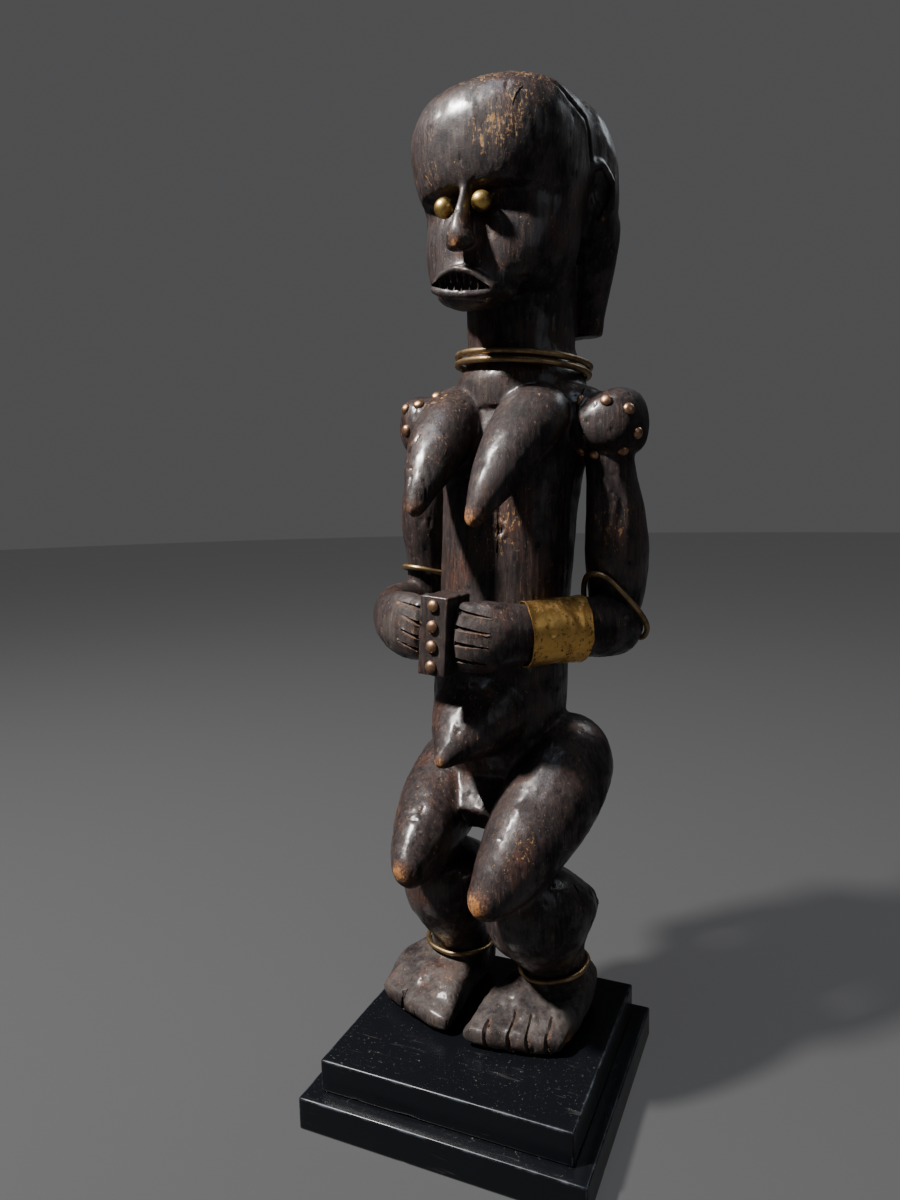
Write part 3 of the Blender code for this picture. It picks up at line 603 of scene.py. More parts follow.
def tube(bm, centres, width, depth, halves, sides, power=2.0):
    """A closed skin drawn section by section, each one extruded from the last."""
    turn = np.linspace(0, 2 * math.pi, sides, endpoint=False)
    c, s = np.cos(turn), np.sin(turn)
    c = np.sign(c) * np.abs(c) ** (2 / power)
    s = np.sign(s) * np.abs(s) ** (2 / power)
    rings = (
        centres[:, None]
        + width[:, None] * (halves[:, :1] * c)[:, :, None]
        + depth[:, None] * (halves[:, 1:] * s)[:, :, None]
    )
    skin = bmesh.new()
    first = [skin.verts.new(p) for p in rings[0]]
    face = skin.faces.new(first)
    for ring in rings[1:]:
        face = bmesh.ops.extrude_discrete_faces(skin, faces=[face])["faces"][0]
        for vert, place in zip(face.verts, ring):
            vert.co = place
    skin.faces.new(reversed(first))
    passing = mesh_from("passing", skin)
    bm.from_mesh(passing)
    bpy.data.meshes.remove(passing)


def limb(bm, stations, across=X_AXIS, domes=(0, 0), power=2.0, sides=56, level=False, per_span=10):
    tube(bm, *sections(stations, across, domes, level, per_span), sides, power)


def pair(bm, left, right=None, **form):
    """The same form on both sides, or with stations of its own where the right one is carved otherwise."""
    limb(bm, left, **form)
    limb(bm, np.array(right or left) * (-1, 1, 1, 1, 1), **form)


def torso(bm):
    limb(bm, [
        (0, 36, 146, 24, 20), (0, 34, 168, 37, 31), (0, 33, 196, 42, 38), (0, 35, 225, 42, 39),
        (0, 38, 258, 41, 37.5), (0, 41, 300, 42, 37), (0, 44, 335, 44, 36), (0, 47, 366, 50, 34),
        (0, 50, 388, 52, 30), (0, 52, 400, 44, 25),
    ], domes=(14, 8), power=2.3)
    limb(bm, [
        (-60, 49, 379, 20, 18), (-36, 49, 384, 23, 18.5), (0, 50, 382, 26, 19), (60, 49, 376, 20, 18),
    ], across=Y_AXIS, domes=(12, 12), power=2.4)


def belly(bm):
    limb(bm, [
        (0, 26, 208, 37, 36), (0, 4, 198, 32, 27), (-1, -17, 188, 20, 17), (-2, -32, 181, 9, 8),
        (-3, -41, 177, 3, 3),
    ], domes=(10, 3))


def loins(bm):
    limb(bm, [(0, 36, 163, 24, 24), (0, 18, 145, 18, 17), (-1, 0, 131, 13, 11)], power=5, sides=32)
    pair(bm, [(20, 44, 172, 20, 22), (21, 66, 162, 22, 25), (21, 84, 157, 15, 17)], domes=(10, 14))


def breasts(bm):
    pair(bm, [
        (26, 36, 384, 17, 14), (26, 16, 374, 22, 19), (23, -5, 355, 19, 17), (19, -22, 334, 12.5, 11.5),
        (15, -36, 314, 4, 4),
    ], right=[
        (28, 36, 386, 18, 14), (28, 16, 375, 21, 19), (26, -5, 357, 18, 17), (24, -22, 338, 12, 11),
        (22, -36, 320, 4, 4),
    ], domes=(10, 4))


def legs(bm):
    pair(bm, [
        (36, 62, 170, 24, 26), (42, 44, 167, 30, 31), (43, 20, 150, 30, 31), (38, -8, 129, 26, 27),
        (32, -32, 110, 18, 19), (25, -50, 97, 8, 9),
    ], right=[
        (30, 58, 158, 22, 26), (34, 42, 150, 26, 29), (35, 20, 137, 26, 29), (30, -8, 125, 22.5, 26),
        (26, -32, 114, 15, 18), (21, -50, 107, 7, 9),
    ], domes=(24, 7))
    pair(bm, [
        (37, 26, 104, 20, 24), (37, 20, 92, 31, 38), (37, 15, 78, 34.5, 43), (37.5, 19, 62, 29, 32),
        (39, 24, 47, 22, 24), (40, 26, 35, ANKLE, ANKLE), (39, 28, 16, 23, 22),
    ], right=[
        (29, 24, 108, 17, 22), (30, 22, 96, 28, 34), (31, 20, 80, 30, 37), (30, 22, 63, 25, 30),
        (29, 26, 47, 19.5, 22), (29, 28, 34, ANKLE, ANKLE), (32, 29, 18, 22, 22),
    ], domes=(16, 0))


def feet(bm):
    left = [
        (37, 62, 13, 17, 13), (38, 46, 15, 23, 15), (38, 24, 15.5, 26.5, 15.5), (36, 3, 14, 29.5, 14),
        (34, -14, 9, 30, 9), (33, -26, 7, 30, 7),
    ]
    right = [
        (33, 62, 13, 16, 13), (34, 46, 15, 21, 15), (36, 24, 15.5, 25, 15.5), (38, 3, 14, 30, 14),
        (37, -14, 9, 31, 9), (36, -26, 7, 31, 7),
    ]
    for side, stations in ((1, left), (-1, right)):
        start = len(bm.verts)
        limb(bm, np.array(stations) * (side, 1, 1, 1, 1), domes=(10, 6), power=3.2)
        bm.verts.ensure_lookup_table()
        for vert in bm.verts[start:]:
            forward = min(max((40 - vert.co.y) / 60, 0), 1)
            vert.co.y += TOE_SLANT * forward * (vert.co.x * side - 34)


def arms(bm):
    pair(bm, [
        (58, 48, 351, 18, 18), (60, 48, 363, 24, 23), (60, 48, 377, 24, 23), (55, 48, 390, 16, 17),
    ], right=[
        (55, 48, 356, 15, 17), (58, 48, 366, 20, 22), (60, 48, 380, 21, 23), (55, 48, 395, 19, 18),
    ], domes=(12, 10), power=2.3)
    pair(bm, [
        (62, 48, 368, 14, 15), (64, 49, 344, 14.5, 18), (67, 51, 318, 17.5, 22), (68, 53, 296, 19, 23.5),
        (68, 54, 272, 17.5, 19), (67, 54, 250, 14, 14),
    ], right=[
        (58, 48, 368, 13, 15), (61, 49, 350, 14, 17), (64, 50, 330, 18, 20), (65, 51, 312, 18, 21),
        (65, 53, 292, 16, 19), (66, 54, 272, 15.5, 17), (68, 54, 254, 15, 16),
    ], domes=(0, 14))
    limb(bm, LEFT_FOREARM, across=Z_AXIS, domes=(16, 6))
    limb(bm, RIGHT_FOREARM, across=Z_AXIS, domes=(16, 6))


def neck_and_head(bm):
    limb(bm, [
        (2, 52, 384, 44, 38), (2, 52, 400, 41, 39), (2, 52, 406, 38, 37), (2, 52, 413, NECK, NECK),
        (1, 50, 470, NECK, NECK),
    ])
    limb(bm, [
        (-1, 21, 445, 22, 26), (-1, 22, 452, 36, 36), (0, 26, 463, 43, 40), (0, 28, 478, 46, 41),
        (0, 30, 494, 48, 42), (0, 33, 514, 50, 47), (0, 34, 534, 50, 49), (0, 35, 551, 44, 45),
        (0, 36, 562, 30, 32), (0, 36, 567, 17, 18),
    ], domes=(6, 5), power=2.2, sides=72, level=True)
    limb(bm, [
        (-1, 16, 497, 40, 35), (-1, 18, 506, 44.5, 41), (-1, 20, 521, 49, 45), (-1, 22, 538, 49, 46),
        (0, 26, 552, 42.5, 42), (0, 31, 562, 28, 28), (0, 33, 567, 15, 15),
    ], domes=(0, 5), power=2.2, sides=72, level=True)


def hood(bm):
    limb(bm, [
        (0, 74, 478, 44, 22), (0, 72, 488, 52, 32), (0, 69, 500, 54, 36), (0, 67, 514, 54.5, 39),
        (1, 63, 534, 52, 41), (1, 58, 551, 45, 39), (1, 53, 562, 31, 29), (1, 50, 566, 18, 18),
    ], domes=(6, 5), power=2.3, sides=72, level=True)
    limb(bm, [
        (0, 85, 429, 42, 8.5), (0, 85, 446, 44, 9.5), (0, 83, 468, 49, 13), (0, 78, 492, 53, 20),
        (0, 74, 505, 51, 22),
    ], power=3.2, sides=72, level=True)
    limb(bm, [(3, 44, 563, 5, 3), (4, 54, 563, 5, 4), (4, 66, 557, 5, 4)], domes=(2, 4), power=3, sides=24)


def ears(bm):
    pair(bm, [
        (48, 43, 517, 3, 2.6), (52, 50, 519, 3, 2.6), (55, 57, 510, 3, 2.6), (55, 58, 499, 3, 2.6),
        (51, 53, 489, 3, 2.6),
    ], domes=(2, 2), sides=24)


def mouth_line(share, upper):
    """A point between the mouth's corners, at -1 and 1, along the arched upper edge or the flat lower one."""
    height = (MOUTH_ARCH if upper else MOUTH_SAG) * (1 - share**2)
    x = MOUTH_MIDDLE + MOUTH_HALF_WIDTH * share
    z = MOUTH_CORNER - MOUTH_TILT * share * MOUTH_HALF_WIDTH + height
    return x, MOUTH_FRONT + MOUTH_WRAP * share**2, z


def face(bm):
    limb(bm, [
        (0, -15, 500, 3, 5), (0, -18, 489, 3.5, 6), (0, -21, 477, 6, 8), (0, -22, 470, 9, 8.5),
        (0, -19, 464, 8, 6),
    ], domes=(0, 4), sides=32)
    limb(bm, [
        (-1, 6, 450, 26, 13), (-2, -6, 449, 24, 12), (-2.5, -13, 448, 22, 10),
    ], domes=(0, 4), power=2.6)
    shares = np.linspace(-1, 1, 9)
    for upper, lip in ((True, 2.3), (False, 2.9)):
        line = [(*mouth_line(share, upper), lip, lip) for share in shares]
        limb(bm, line, across=Z_AXIS, domes=(2, 2), sides=24)


def figure_skin(bm):
    """All the body forms and both lips in one mesh, still overlapping."""
    for form in (torso, belly, loins, breasts, legs, feet, arms, neck_and_head, hood, ears, face):
        form(bm)
    raised_lip(bm, upper=True)
    raised_lip(bm, upper=False)


def in_world(point):
    """A point of the figure's own units, swayed, turned and stood on the plinth."""
    x, y, z = point
    x += SWAY * max(z - SWAY_FROM, 0)
    turned_round = turned_way((x, y - TURN_CENTRE_Y, z))
    return (turned_round + Vector((0, TURN_CENTRE_Y, 0))) * UNIT + Vector((0, 0, PLINTH_TOP)) + SHIFT


def turned_way(direction):
    return Matrix.Rotation(TURN, 3, "Z") @ Vector(direction)


def gum_line(share, upper):
    """As mouth_line, but where the lip's inner edge is."""
    x, y, z = mouth_line(share, upper)
    return x, y, z + (-UPPER_LIP if upper else LOWER_LIP) * (1 - share**4)


def teeth(bm, upper):
    """A row of pointed teeth, the upper ones longer, with their roots in the jaw."""
    count, length, inset = (8, 5.0, 0.9) if upper else (7, 2.8, 2.2)
    down = -1 if upper else 1
    for share in (np.arange(count) + 0.5) / count * 1.7 - 0.85:
        x, y, z = gum_line(share, upper)
        root, tip = z - down * 1.2, z + down * length * (1 - 0.6 * share**2)
        rows = [(x, y + inset, root, 1.75, 2.2), (x, y + inset, tip, 0.35, 0.5)]
        limb(bm, rows, sides=6, per_span=3)


def mouth_opening(bm):
    """What is cut out between the lips."""
    shares = np.linspace(-0.93, 0.93, 10)
    outline = [gum_line(share, False) for share in shares] + [gum_line(share, True) for share in shares[::-1]]
    front = bm.faces.new([bm.verts.new((x, MOUTH_FRONT - 8, z)) for x, y, z in outline])
    grown = bmesh.ops.extrude_face_region(bm, geom=[front])["geom"]
    moved = [item for item in grown if isinstance(item, bmesh.types.BMVert)]
    bmesh.ops.translate(bm, vec=(0, MOUTH_DEPTH + 8, 0), verts=moved)


def raised_lip(bm, upper):
    """One raised lip, thin above and broad below."""
    lip, deep, rise = (2.5, 3.2, -0.5) if upper else (3.1, 4.4, -1.5)
    rows = []
    for share in np.linspace(-1.04, 1.04, 15):
        x, y, z = mouth_line(share, upper)
        thin = 1 - 0.35 * share**4
        rows.append((x, y - 0.6, z + rise, lip * thin, deep * thin))
    limb(bm, rows, across=Z_AXIS, domes=(2, 2), sides=20, power=3.0, per_span=2)


def front_of(tree, x, z):
    """Where the wood faces the front at a height, in own units."""
    hit = tree.ray_cast(in_world((x, -90, z)), turned_way(Y_AXIS))[0]
    return to_own([hit])[0]


def surface_cuts(bm, tree, cuts):
    """Tapering V cuts that follow the wood, each from its deep end to its point."""
    for x, z, end_x, end_z, wide, deep in cuts:
        rows = []
        for share in np.linspace(0, 1, 7):
            place = front_of(tree, x + share * (end_x - x), z + share * (end_z - z))
            taper = 1 - share**1.5 * 0.85
            rows.append((*place, wide * taper, deep * taper))
        across = Z_AXIS if abs(end_x - x) > abs(end_z - z) else X_AXIS
        limb(bm, rows, across=across, sides=4, per_span=2)


def turned_solid(bm, profile, place, axis, sides):
    """A solid of revolution: the profile gives distances along the axis and radii."""
    axis = Vector(axis).normalized()
    across = axis.orthogonal().normalized()
    profile = np.array(profile)
    centres = np.array(place) + profile[:, :1] * np.array(axis)
    count = len(profile)
    halves = np.repeat(profile[:, 1:], 2, axis=1)
    tube(bm, centres, np.tile(across, (count, 1)), np.tile(axis.cross(across), (count, 1)), halves, sides)


def ring_plane(centre, normal):
    """Where a ring's plane lies, with the way to the figure's left side and the way to its front in it."""
    normal = turned_way(normal).normalized()
    left = turned_way(X_AXIS)
    left = (left - left.dot(normal) * normal).normalized()
    return in_world(centre), normal, left, left.cross(normal)


def snug(tree, middle, axis, across, levels, gap, angles):
    """Points round a limb on the convex outline that clears the wood by a gap, at levels along the axis."""
    up = axis.cross(across)
    headings = np.radians(np.arange(0, 360, 3))
    units = np.stack([np.cos(headings), np.sin(headings)])
    reach = np.zeros(len(headings))
    for level in levels:
        start = middle + level * axis
        found = [tree.ray_cast(start, float(c) * across + float(s) * up)[3] for c, s in units.T]
        # A ray that slips between two faces is outvoted by its neighbours.
        found = np.median([np.roll(found, step) for step in range(-2, 3)], axis=0)
        reach = np.maximum(reach, ((found * units).T @ units).max(axis=0))
    reach += gap
    points = []
    for angle in angles:
        share = np.cos(angle - headings)
        far = float((reach[share > 0.3] / share[share > 0.3]).min())
        points.append(middle + far * (math.cos(angle) * across + math.sin(angle) * up))
    return points


def box_tree(mesh):
    places = [vert.co for vert in mesh.vertices]
    return BVHTree.FromPolygons(places, [face.vertices for face in mesh.polygons])


def baked(obj):
    """The object's mesh with its modifiers worked in."""
    graph = bpy.context.evaluated_depsgraph_get()
    made = bpy.data.meshes.new_from_object(obj.evaluated_get(graph))
    obj.modifiers.clear()
    obj.data = made
    return made


def loose(name, bm):
    """A bmesh as a passing object, for modifiers to work on."""
    bmesh.ops.recalc_face_normals(bm, faces=bm.faces)
    return linked(name, mesh_from(name, bm))


def combine(obj, other, operation):
    step = obj.modifiers.new(operation.lower(), "BOOLEAN")
    step.object = other
    step.operation = operation
    step.solver = "EXACT"
    baked(obj)
    bpy.data.objects.remove(other)


def into_world(form):
    bm = bmesh.new()
    form(bm)
    for vert in bm.verts:
        vert.co = in_world(vert.co)
    return bm


def vectors_of(items, name):
    """One vector of each item of a mesh, as rows of numbers."""
    found = np.empty(len(items) * 3, np.float32)
    items.foreach_get(name, found)
    return found.reshape(-1, 3).astype(float)


def write_on(mesh, name, values):
    """Keeps a number on each of the mesh's points, for the material to read."""
    mesh.attributes.new(name, "FLOAT", "POINT").data.foreach_set("value", values.astype(np.float32))


def fused_skin(sizes):
    """The rounded forms fused into one skin and softened."""
    obj = loose("skin", into_world(figure_skin))
    fuse = obj.modifiers.new("fuse", "REMESH")
    fuse.mode = "VOXEL"
    fuse.voxel_size = sizes.fineness
    soften = obj.modifiers.new("soften", "SMOOTH")
    soften.factor = 0.5
    soften.iterations = round(6 * (0.0016 / sizes.fineness) ** 2)
    baked(obj)
    return obj


def work_over(obj, sizes):
    """The marks of tools and age on the whole carving, thinned where it stays plain."""
    mesh = obj.data
    places, normals = vectors_of(mesh.vertices, "co"), vectors_of(mesh.vertex_normals, "vector")
    own = to_own(places)
    back = np.array(turned_way(Y_AXIS))
    places += set_back(own)[:, None] * back
    places += relief(own, sizes)[:, None] * normals
    mesh.vertices.foreach_set("co", places.astype(np.float32).ravel())
    mesh.update()
    mesh.calc_loop_triangles()
    thin = obj.modifiers.new("thin", "DECIMATE")
    thin.ratio = min(1.0, sizes.triangles / len(mesh.loop_triangles))
    baked(obj)


def softened_box(bm, size, rounding, longest, cuts):
    """A box about the origin with rounded edges, its long edges cut up, and the places of its points."""
    bmesh.ops.create_cube(bm, size=1)
    bmesh.ops.scale(bm, vec=size, verts=bm.verts)
    edges = list(bm.edges)
    bmesh.ops.bevel(bm, geom=edges, offset=rounding, segments=3, profile=0.5, affect="EDGES", material=-1)
    long_edges = [edge for edge in bm.edges if edge.calc_length() > longest]
    bmesh.ops.subdivide_edges(bm, edges=long_edges, cuts=cuts, use_grid_fill=True)
    return np.array([vert.co for vert in bm.verts])


def push(bm, amounts, way=None):
    """Moves each point by its amount, the given way or else away from the origin."""
    for vert, amount in zip(bm.verts, amounts):
        vert.co += float(amount) * (vert.co.normalized() if way is None else way)


def worn_block(bm):
    """The upright block between the hands, its edges rounded by handling."""
    places = softened_box(bm, BLOCK, 0.0013, 0.004, 12)
    push(bm, 0.0003 * value_noise(places, 0.007, 21) + 0.00025 * value_noise(places, 0.0025, 22))
    turn = Matrix.Rotation(TURN, 4, "Z") @ Matrix.Rotation(BLOCK_TILT, 4, "Y")
    bmesh.ops.transform(bm, matrix=Matrix.Translation(in_world(BLOCK_CENTRE)) @ turn, verts=bm.verts)


# Cracks: places along the surface, how deep they run and how wide they open, in own units.
CRACKS = (
    ([
        (50.8, 37, 393), (49.5, 30, 384), (51, 27, 374), (53.5, 27.5, 364), (56, 31, 357),
    ], (-0.6, 0.7, -0.2), 3.0, 0.55),
    ([(36, -9, 548), (30, -16, 540), (29, -20, 528)], (-0.5, 0.8, -0.1), 1.6, 0.3),
    ([(62, 9, 108), (64, 5, 92), (61, 4, 76)], (-0.9, 0.3, 0), 1.8, 0.35),
    ([(10, 7, 330), (11, 6, 300), (9, 6, 276)], (-0.1, 1, 0), 1.2, 0.25),
    ([(64, 31, 350), (66, 30, 336)], (-0.2, 1, 0), 1.4, 0.3),
    ([(-18, 3, 402), (-12, 6, 392), (-8, 4, 380)], (0.2, 1, 0), 1.4, 0.3),
    ([(20, 104, 540), (22, 103, 500), (20, 98, 460)], (0, -1, 0), 1.6, 0.3),
    ([(-14, 88, 330), (-12, 84, 290), (-14, 80, 240)], (0, -1, 0), 1.6, 0.3)
)


def cracks(bm):
    for line, inward, deep, wide in CRACKS:
        line = np.array(line, float)
        inward = np.array(inward, float) / np.linalg.norm(inward)
        across = np.cross(line[-1] - line[0], inward)
        shares = np.sin(np.linspace(0.12, 0.88, len(line)) * math.pi)
        rows = [(*place, wide * share, deep * share + 0.6) for place, share in zip(line, shares)]
        limb(bm, rows, across=across, sides=6, per_span=3)


def mark_surface(mesh):
    """Writes on the wood's points how worn it is there, with a painted highlight on the lit walls of the cuts
    and painted shade that keeps the mouth dark, how scraped it is, and how deep in a hollow.
    """
    places, normals = vectors_of(mesh.vertices, "co"), vectors_of(mesh.vertex_normals, "vector")
    own = to_own(places)
    count = len(places)
    ends = np.empty(len(mesh.edges) * 2, np.int32)
    mesh.edges.foreach_get("vertices", ends)
    a, b = ends.reshape(-1, 2).T
    share = 1 / np.maximum(np.bincount(a, minlength=count) + np.bincount(b, minlength=count), 1)

    def blurred(values):
        return (np.bincount(a, values[b], count) + np.bincount(b, values[a], count)) * share

    mean = np.column_stack([blurred(places[:, axis]) for axis in range(3)])
    lengths = np.linalg.norm(places[a] - places[b], axis=1)
    spacing = (np.bincount(a, lengths, count) + np.bincount(b, lengths, count)) * share
    bend = np.sum((places - mean) * normals, axis=1) / np.maximum(spacing, 0.0004) ** 2
    bend = np.clip(bend, -400, 400)
    for step in range(4):
        bend = 0.4 * bend + 0.6 * blurred(bend)
    edges = soft_step(bend, 45, 190)
    hollow = soft_step(-bend, 35, 150)
    middle, stretch, reach = MOUTH_SHADE
    in_mouth = np.exp(-((away(own, middle, stretch) / reach) ** 4))
    # Painted shade: inside the mouth the wear colour is mostly held back, so the mouth stays dark.
    worn_and_lit = np.maximum(spots(own, WORN), 0.6 * edges) * (1 - 0.75 * in_mouth)
    forward = own[:, 1] - MOUTH_FRONT - MOUTH_WRAP * ((own[:, 0] - MOUTH_MIDDLE) / MOUTH_HALF_WIDTH) ** 2
    hollow += 1.5 * in_mouth * soft_step(forward, -0.2, 0.8) * soft_step(forward, 5.2, 4.0)
    hollow += spots(own, MATTE) + 0.5 * soft_step(own[:, 2], DUSTY_FROM, DUSTY_AT)
    # Painted highlight: the lower wall of each finger cut and the wall of each toe cut on the figure's left,
    # the walls that face the key light, are painted pale like worn wood.
    flat = np.where(own[:, 1:2] < 0, own, 1e3) * (1, 0, 1)
    for cuts, beside in ((FINGER_CUTS, (0, 0, -1.0)), (TOE_CUTS, (1.0, 0, 0))):
        for x, z, end_x, end_z in [cut[:4] for cut in cuts]:
            far = far_from_line(flat - beside, [(x, 0, z), (end_x, 0, end_z)])
            worn_and_lit = np.maximum(worn_and_lit, 0.62 * hump(far, 1.2))
    worn_and_lit = np.clip(worn_and_lit + 0.10 * value_noise(own, 7, 31), 0, 1.2)
    write_on(mesh, "worn_and_lit", worn_and_lit)
    write_on(mesh, "scraped", spots(own, SCRAPED))
    write_on(mesh, "hollow", hollow)


def carve_figure(sizes):
    obj = fused_skin(sizes)
    block = bmesh.new()
    worn_block(block)
    tree = box_tree(obj.data)
    combine(obj, loose("block", block), "UNION")
    combine(obj, loose("mouth", into_world(mouth_opening)), "DIFFERENCE")
    for upper in (True, False):
        combine(obj, loose("teeth", into_world(lambda bm: teeth(bm, upper))), "UNION")
    for cuts in (FINGER_CUTS, TOE_CUTS):
        combine(obj, loose("cut", into_world(lambda bm: surface_cuts(bm, tree, cuts))), "DIFFERENCE")
    combine(obj, loose("cracks", into_world(cracks)), "DIFFERENCE")
    work_over(obj, sizes)
    bm = bmesh.new()
    bm.from_mesh(obj.data)
    bpy.data.objects.remove(obj)
    level = PLINTH_TOP + CLEARANCE
    everything = [*bm.verts, *bm.edges, *bm.faces]
    bmesh.ops.bisect_plane(bm, geom=everything, plane_co=(0, 0, level), plane_no=(0, 0, -1), clear_outer=True)
    open_edges = [edge for edge in bm.edges if len(edge.link_faces) == 1]
    bmesh.ops.holes_fill(bm, edges=open_edges, sides=0)
    bmesh.ops.triangulate(bm, faces=[face for face in bm.faces if len(face.verts) > 4])
    mesh = mesh_from("figure_wood", bm)
    mark_surface(mesh)
    return mesh


def wood_tree():
    """The carved wood, as the metal pieces feel for it."""
    piece = bpy.data.objects.get("figure_wood")
    return box_tree(piece.data)


def round_ends(count, swell):
    """Shares of a wire's radius along it: rounded at both ends, and swollen before its last end."""
    share = np.ones(count)
    share[[0, -1]] = 0.45
    share[[1, -2]] = 0.9
    share[-6:-1] *= 1 + swell * np.array([0.3, 0.8, 1.0, 1.0, 0.9])
    return share


def worked_wire(bm, points, radius, swell=0.0, seed=40):
    """Round wire along points, with the small flats and waves of hammering."""
    points = np.array(points)
    along = np.gradient(points, axis=0)
    along /= np.linalg.norm(along, axis=1)[:, None]
    out = points - points.mean(axis=0)
    out -= np.sum(out * along, axis=1)[:, None] * along
    out /= np.linalg.norm(out, axis=1)[:, None]
    waves = 1 + 0.05 * value_noise(points, 0.006, seed)
    halves = radius * (waves * round_ends(len(points), swell))[:, None] * np.ones(2)
    tube(bm, points, out, np.cross(along, out), halves, WIRE_SIDES)


def coil(centre, normal, radius, pitch, turns, start):
    """Points round a coil that sways a little, start degrees on from the figure's left side."""
    middle, normal, left, front = ring_plane(centre, normal)
    points = []
    for number in range(round(COIL_STEPS * turns) + 1):
        angle = math.radians(start) + number / COIL_STEPS * 2 * math.pi
        rise = pitch * (number / COIL_STEPS - turns / 2)
        sway = radius * (1 + 0.008 * math.sin(2.3 * angle + 0.6))
        points.append(middle + sway * (math.cos(angle) * left + math.sin(angle) * front) + rise * normal)
    return points


def make_rings(sizes, finish):
    tree = wood_tree()
    points = coil(*NECK_COIL)
    for step in range(6):
        gap = min(tree.find_nearest(place)[3] for place in points) - sizes.neck_wire
        points = [place - Vector((0, 0, gap - RING_SEAT)) for place in points]
    bm = bmesh.new()
    worked_wire(bm, points, sizes.neck_wire, swell=0.35)
    place_piece("neck_ring_wire", bm, finish, ["neck_ring"])
    for number, (name, (centre, normal, radius, start, sweep)) in enumerate(TIGHT_RINGS.items()):
        middle, normal, left, front = ring_plane(centre, normal)
        angles = np.radians(start + np.linspace(0, 1, round(sweep / 3) + 1) * sweep)
        points = snug(tree, middle, -normal, left, (-radius, 0, radius), radius + sizes.ring_slack, angles)
        points = evened(np.array(points))
        bm = bmesh.new()
        worked_wire(bm, points, radius, swell=0.15, seed=41 + number)
        place_piece(f"{name}_wire", bm, finish, [name])


def evened(points, rounds=3):
    """The points with their kinks smoothed out, and both ends kept."""
    for step in range(rounds):
        points[1:-1] = 0.5 * points[1:-1] + 0.25 * (points[:-2] + points[2:])
    return points


def along_line(distance, run, rows):
    """The row at a distance along a line, where run says how far on each row lies."""
    return [np.interp(distance, run, column) for column in rows.T]


def make_cuff(sizes, finish):
    """Sheet brass bent round the left forearm, dented, with worn edges and its lapped end pressed down."""
    tree = wood_tree()
    centres, width = sections(LEFT_FOREARM, Z_AXIS, (0, 0), per_span=FOREARM_STEPS)[:2]
    run = np.concatenate([[0], np.cumsum(np.linalg.norm(np.diff(centres, axis=0), axis=1))]) * UNIT
    stations = run[CUFF_STEP] + CUFF_LENGTH * np.linspace(-0.5, 0.5, CUFF_ROWS)
    angles = np.linspace(0, 2 * math.pi, CUFF_SIDES, endpoint=False)
    bm = bmesh.new()
    loop, rim = None, []
    for number, distance in enumerate(stations):
        middle = in_world(along_line(distance, run, centres))
        axis = (in_world(along_line(distance + 0.001, run, centres)) - middle).normalized()
        across = turned_way(along_line(distance, run, width))
        across = (across - across.dot(axis) * axis).normalized()
        reach = CUFF_LENGTH / 10
        hoop = np.array(snug(tree, middle, axis, across, (-reach, 0, reach), sizes.cuff_slack, angles))
        out = hoop - np.array(middle)
        out /= np.linalg.norm(out, axis=1)[:, None]
        end = min(number, len(stations) - 1 - number) / 3
        folds = soft_step(value_noise(hoop, 0.007, 52), 0.45, 0.8)
        dents = 0.00045 * value_noise(hoop, 0.011, 51) - 0.0006 * folds
        lap = 0.0006 * soft_step(np.cos(angles - CUFF_LAP), 0.86, 0.90)
        flare = 0.0004 * max(0, 1 - end) ** 2
        ragged = 0.0007 * value_noise(hoop, 0.006, 53) * max(0, 1 - end)
        hoop = hoop + (dents + lap + flare)[:, None] * out + ragged[:, None] * np.array(axis)
        if loop is None:
            loop = list(bmesh.ops.create_circle(bm, segments=CUFF_SIDES)["verts"])
        else:
            grown = bmesh.ops.extrude_edge_only(bm, edges=rim)["geom"]
            fresh = {vert for vert in grown if isinstance(vert, bmesh.types.BMVert)}
            around = [[edge.other_vert(vert) for edge in vert.link_edges] for vert in loop]
            loop = [next(vert for vert in near if vert in fresh) for near in around]
        for vert, place in zip(loop, hoop):
            vert.co = place
        rim = [bm.edges.get((loop[index - 1], loop[index])) for index in range(CUFF_SIDES)]
    bmesh.ops.recalc_face_normals(bm, faces=bm.faces)
    middle = sum((face.calc_center_median() for face in bm.faces), Vector()) / len(bm.faces)
    first = next(iter(bm.faces))
    if first.normal.dot(first.calc_center_median() - middle) < 0:
        bmesh.ops.reverse_faces(bm, faces=bm.faces)
    bmesh.ops.solidify(bm, geom=list(bm.faces), thickness=sizes.cuff_sheet)
    piece = place_piece("wrist_cuff_sheet", bm, finish, ["wrist_cuff"])
    places = vectors_of(piece.data.vertices, "co")
    along = np.array(in_world(along_line(stations[-1], run, centres)))
    along -= np.array(in_world(along_line(stations[0], run, centres)))
    share = (places - places.mean(axis=0)) @ along / (along @ along)
    write_on(piece.data, "edge", soft_step(np.abs(share), 0.42, 0.5))


def make_eyes(finish):
    for number, (name, place) in enumerate(EYES.items()):
        bm = bmesh.new()
        bmesh.ops.create_uvsphere(bm, u_segments=40, v_segments=24, radius=EYE_RADIUS)
        places = np.array([vert.co for vert in bm.verts])
        push(bm, 0.00012 * value_noise(places, 0.004, 60 + number))
        bmesh.ops.translate(bm, vec=in_world(place), verts=bm.verts)
        place_piece(f"{name}_ball", bm, finish, [name])


def facing(azimuth, elevation):
    """The way that lies so many degrees round from the front, and so many up."""
    a, e = math.radians(azimuth), math.radians(elevation)
    return math.sin(a) * math.cos(e), -math.cos(a) * math.cos(e), math.sin(e)


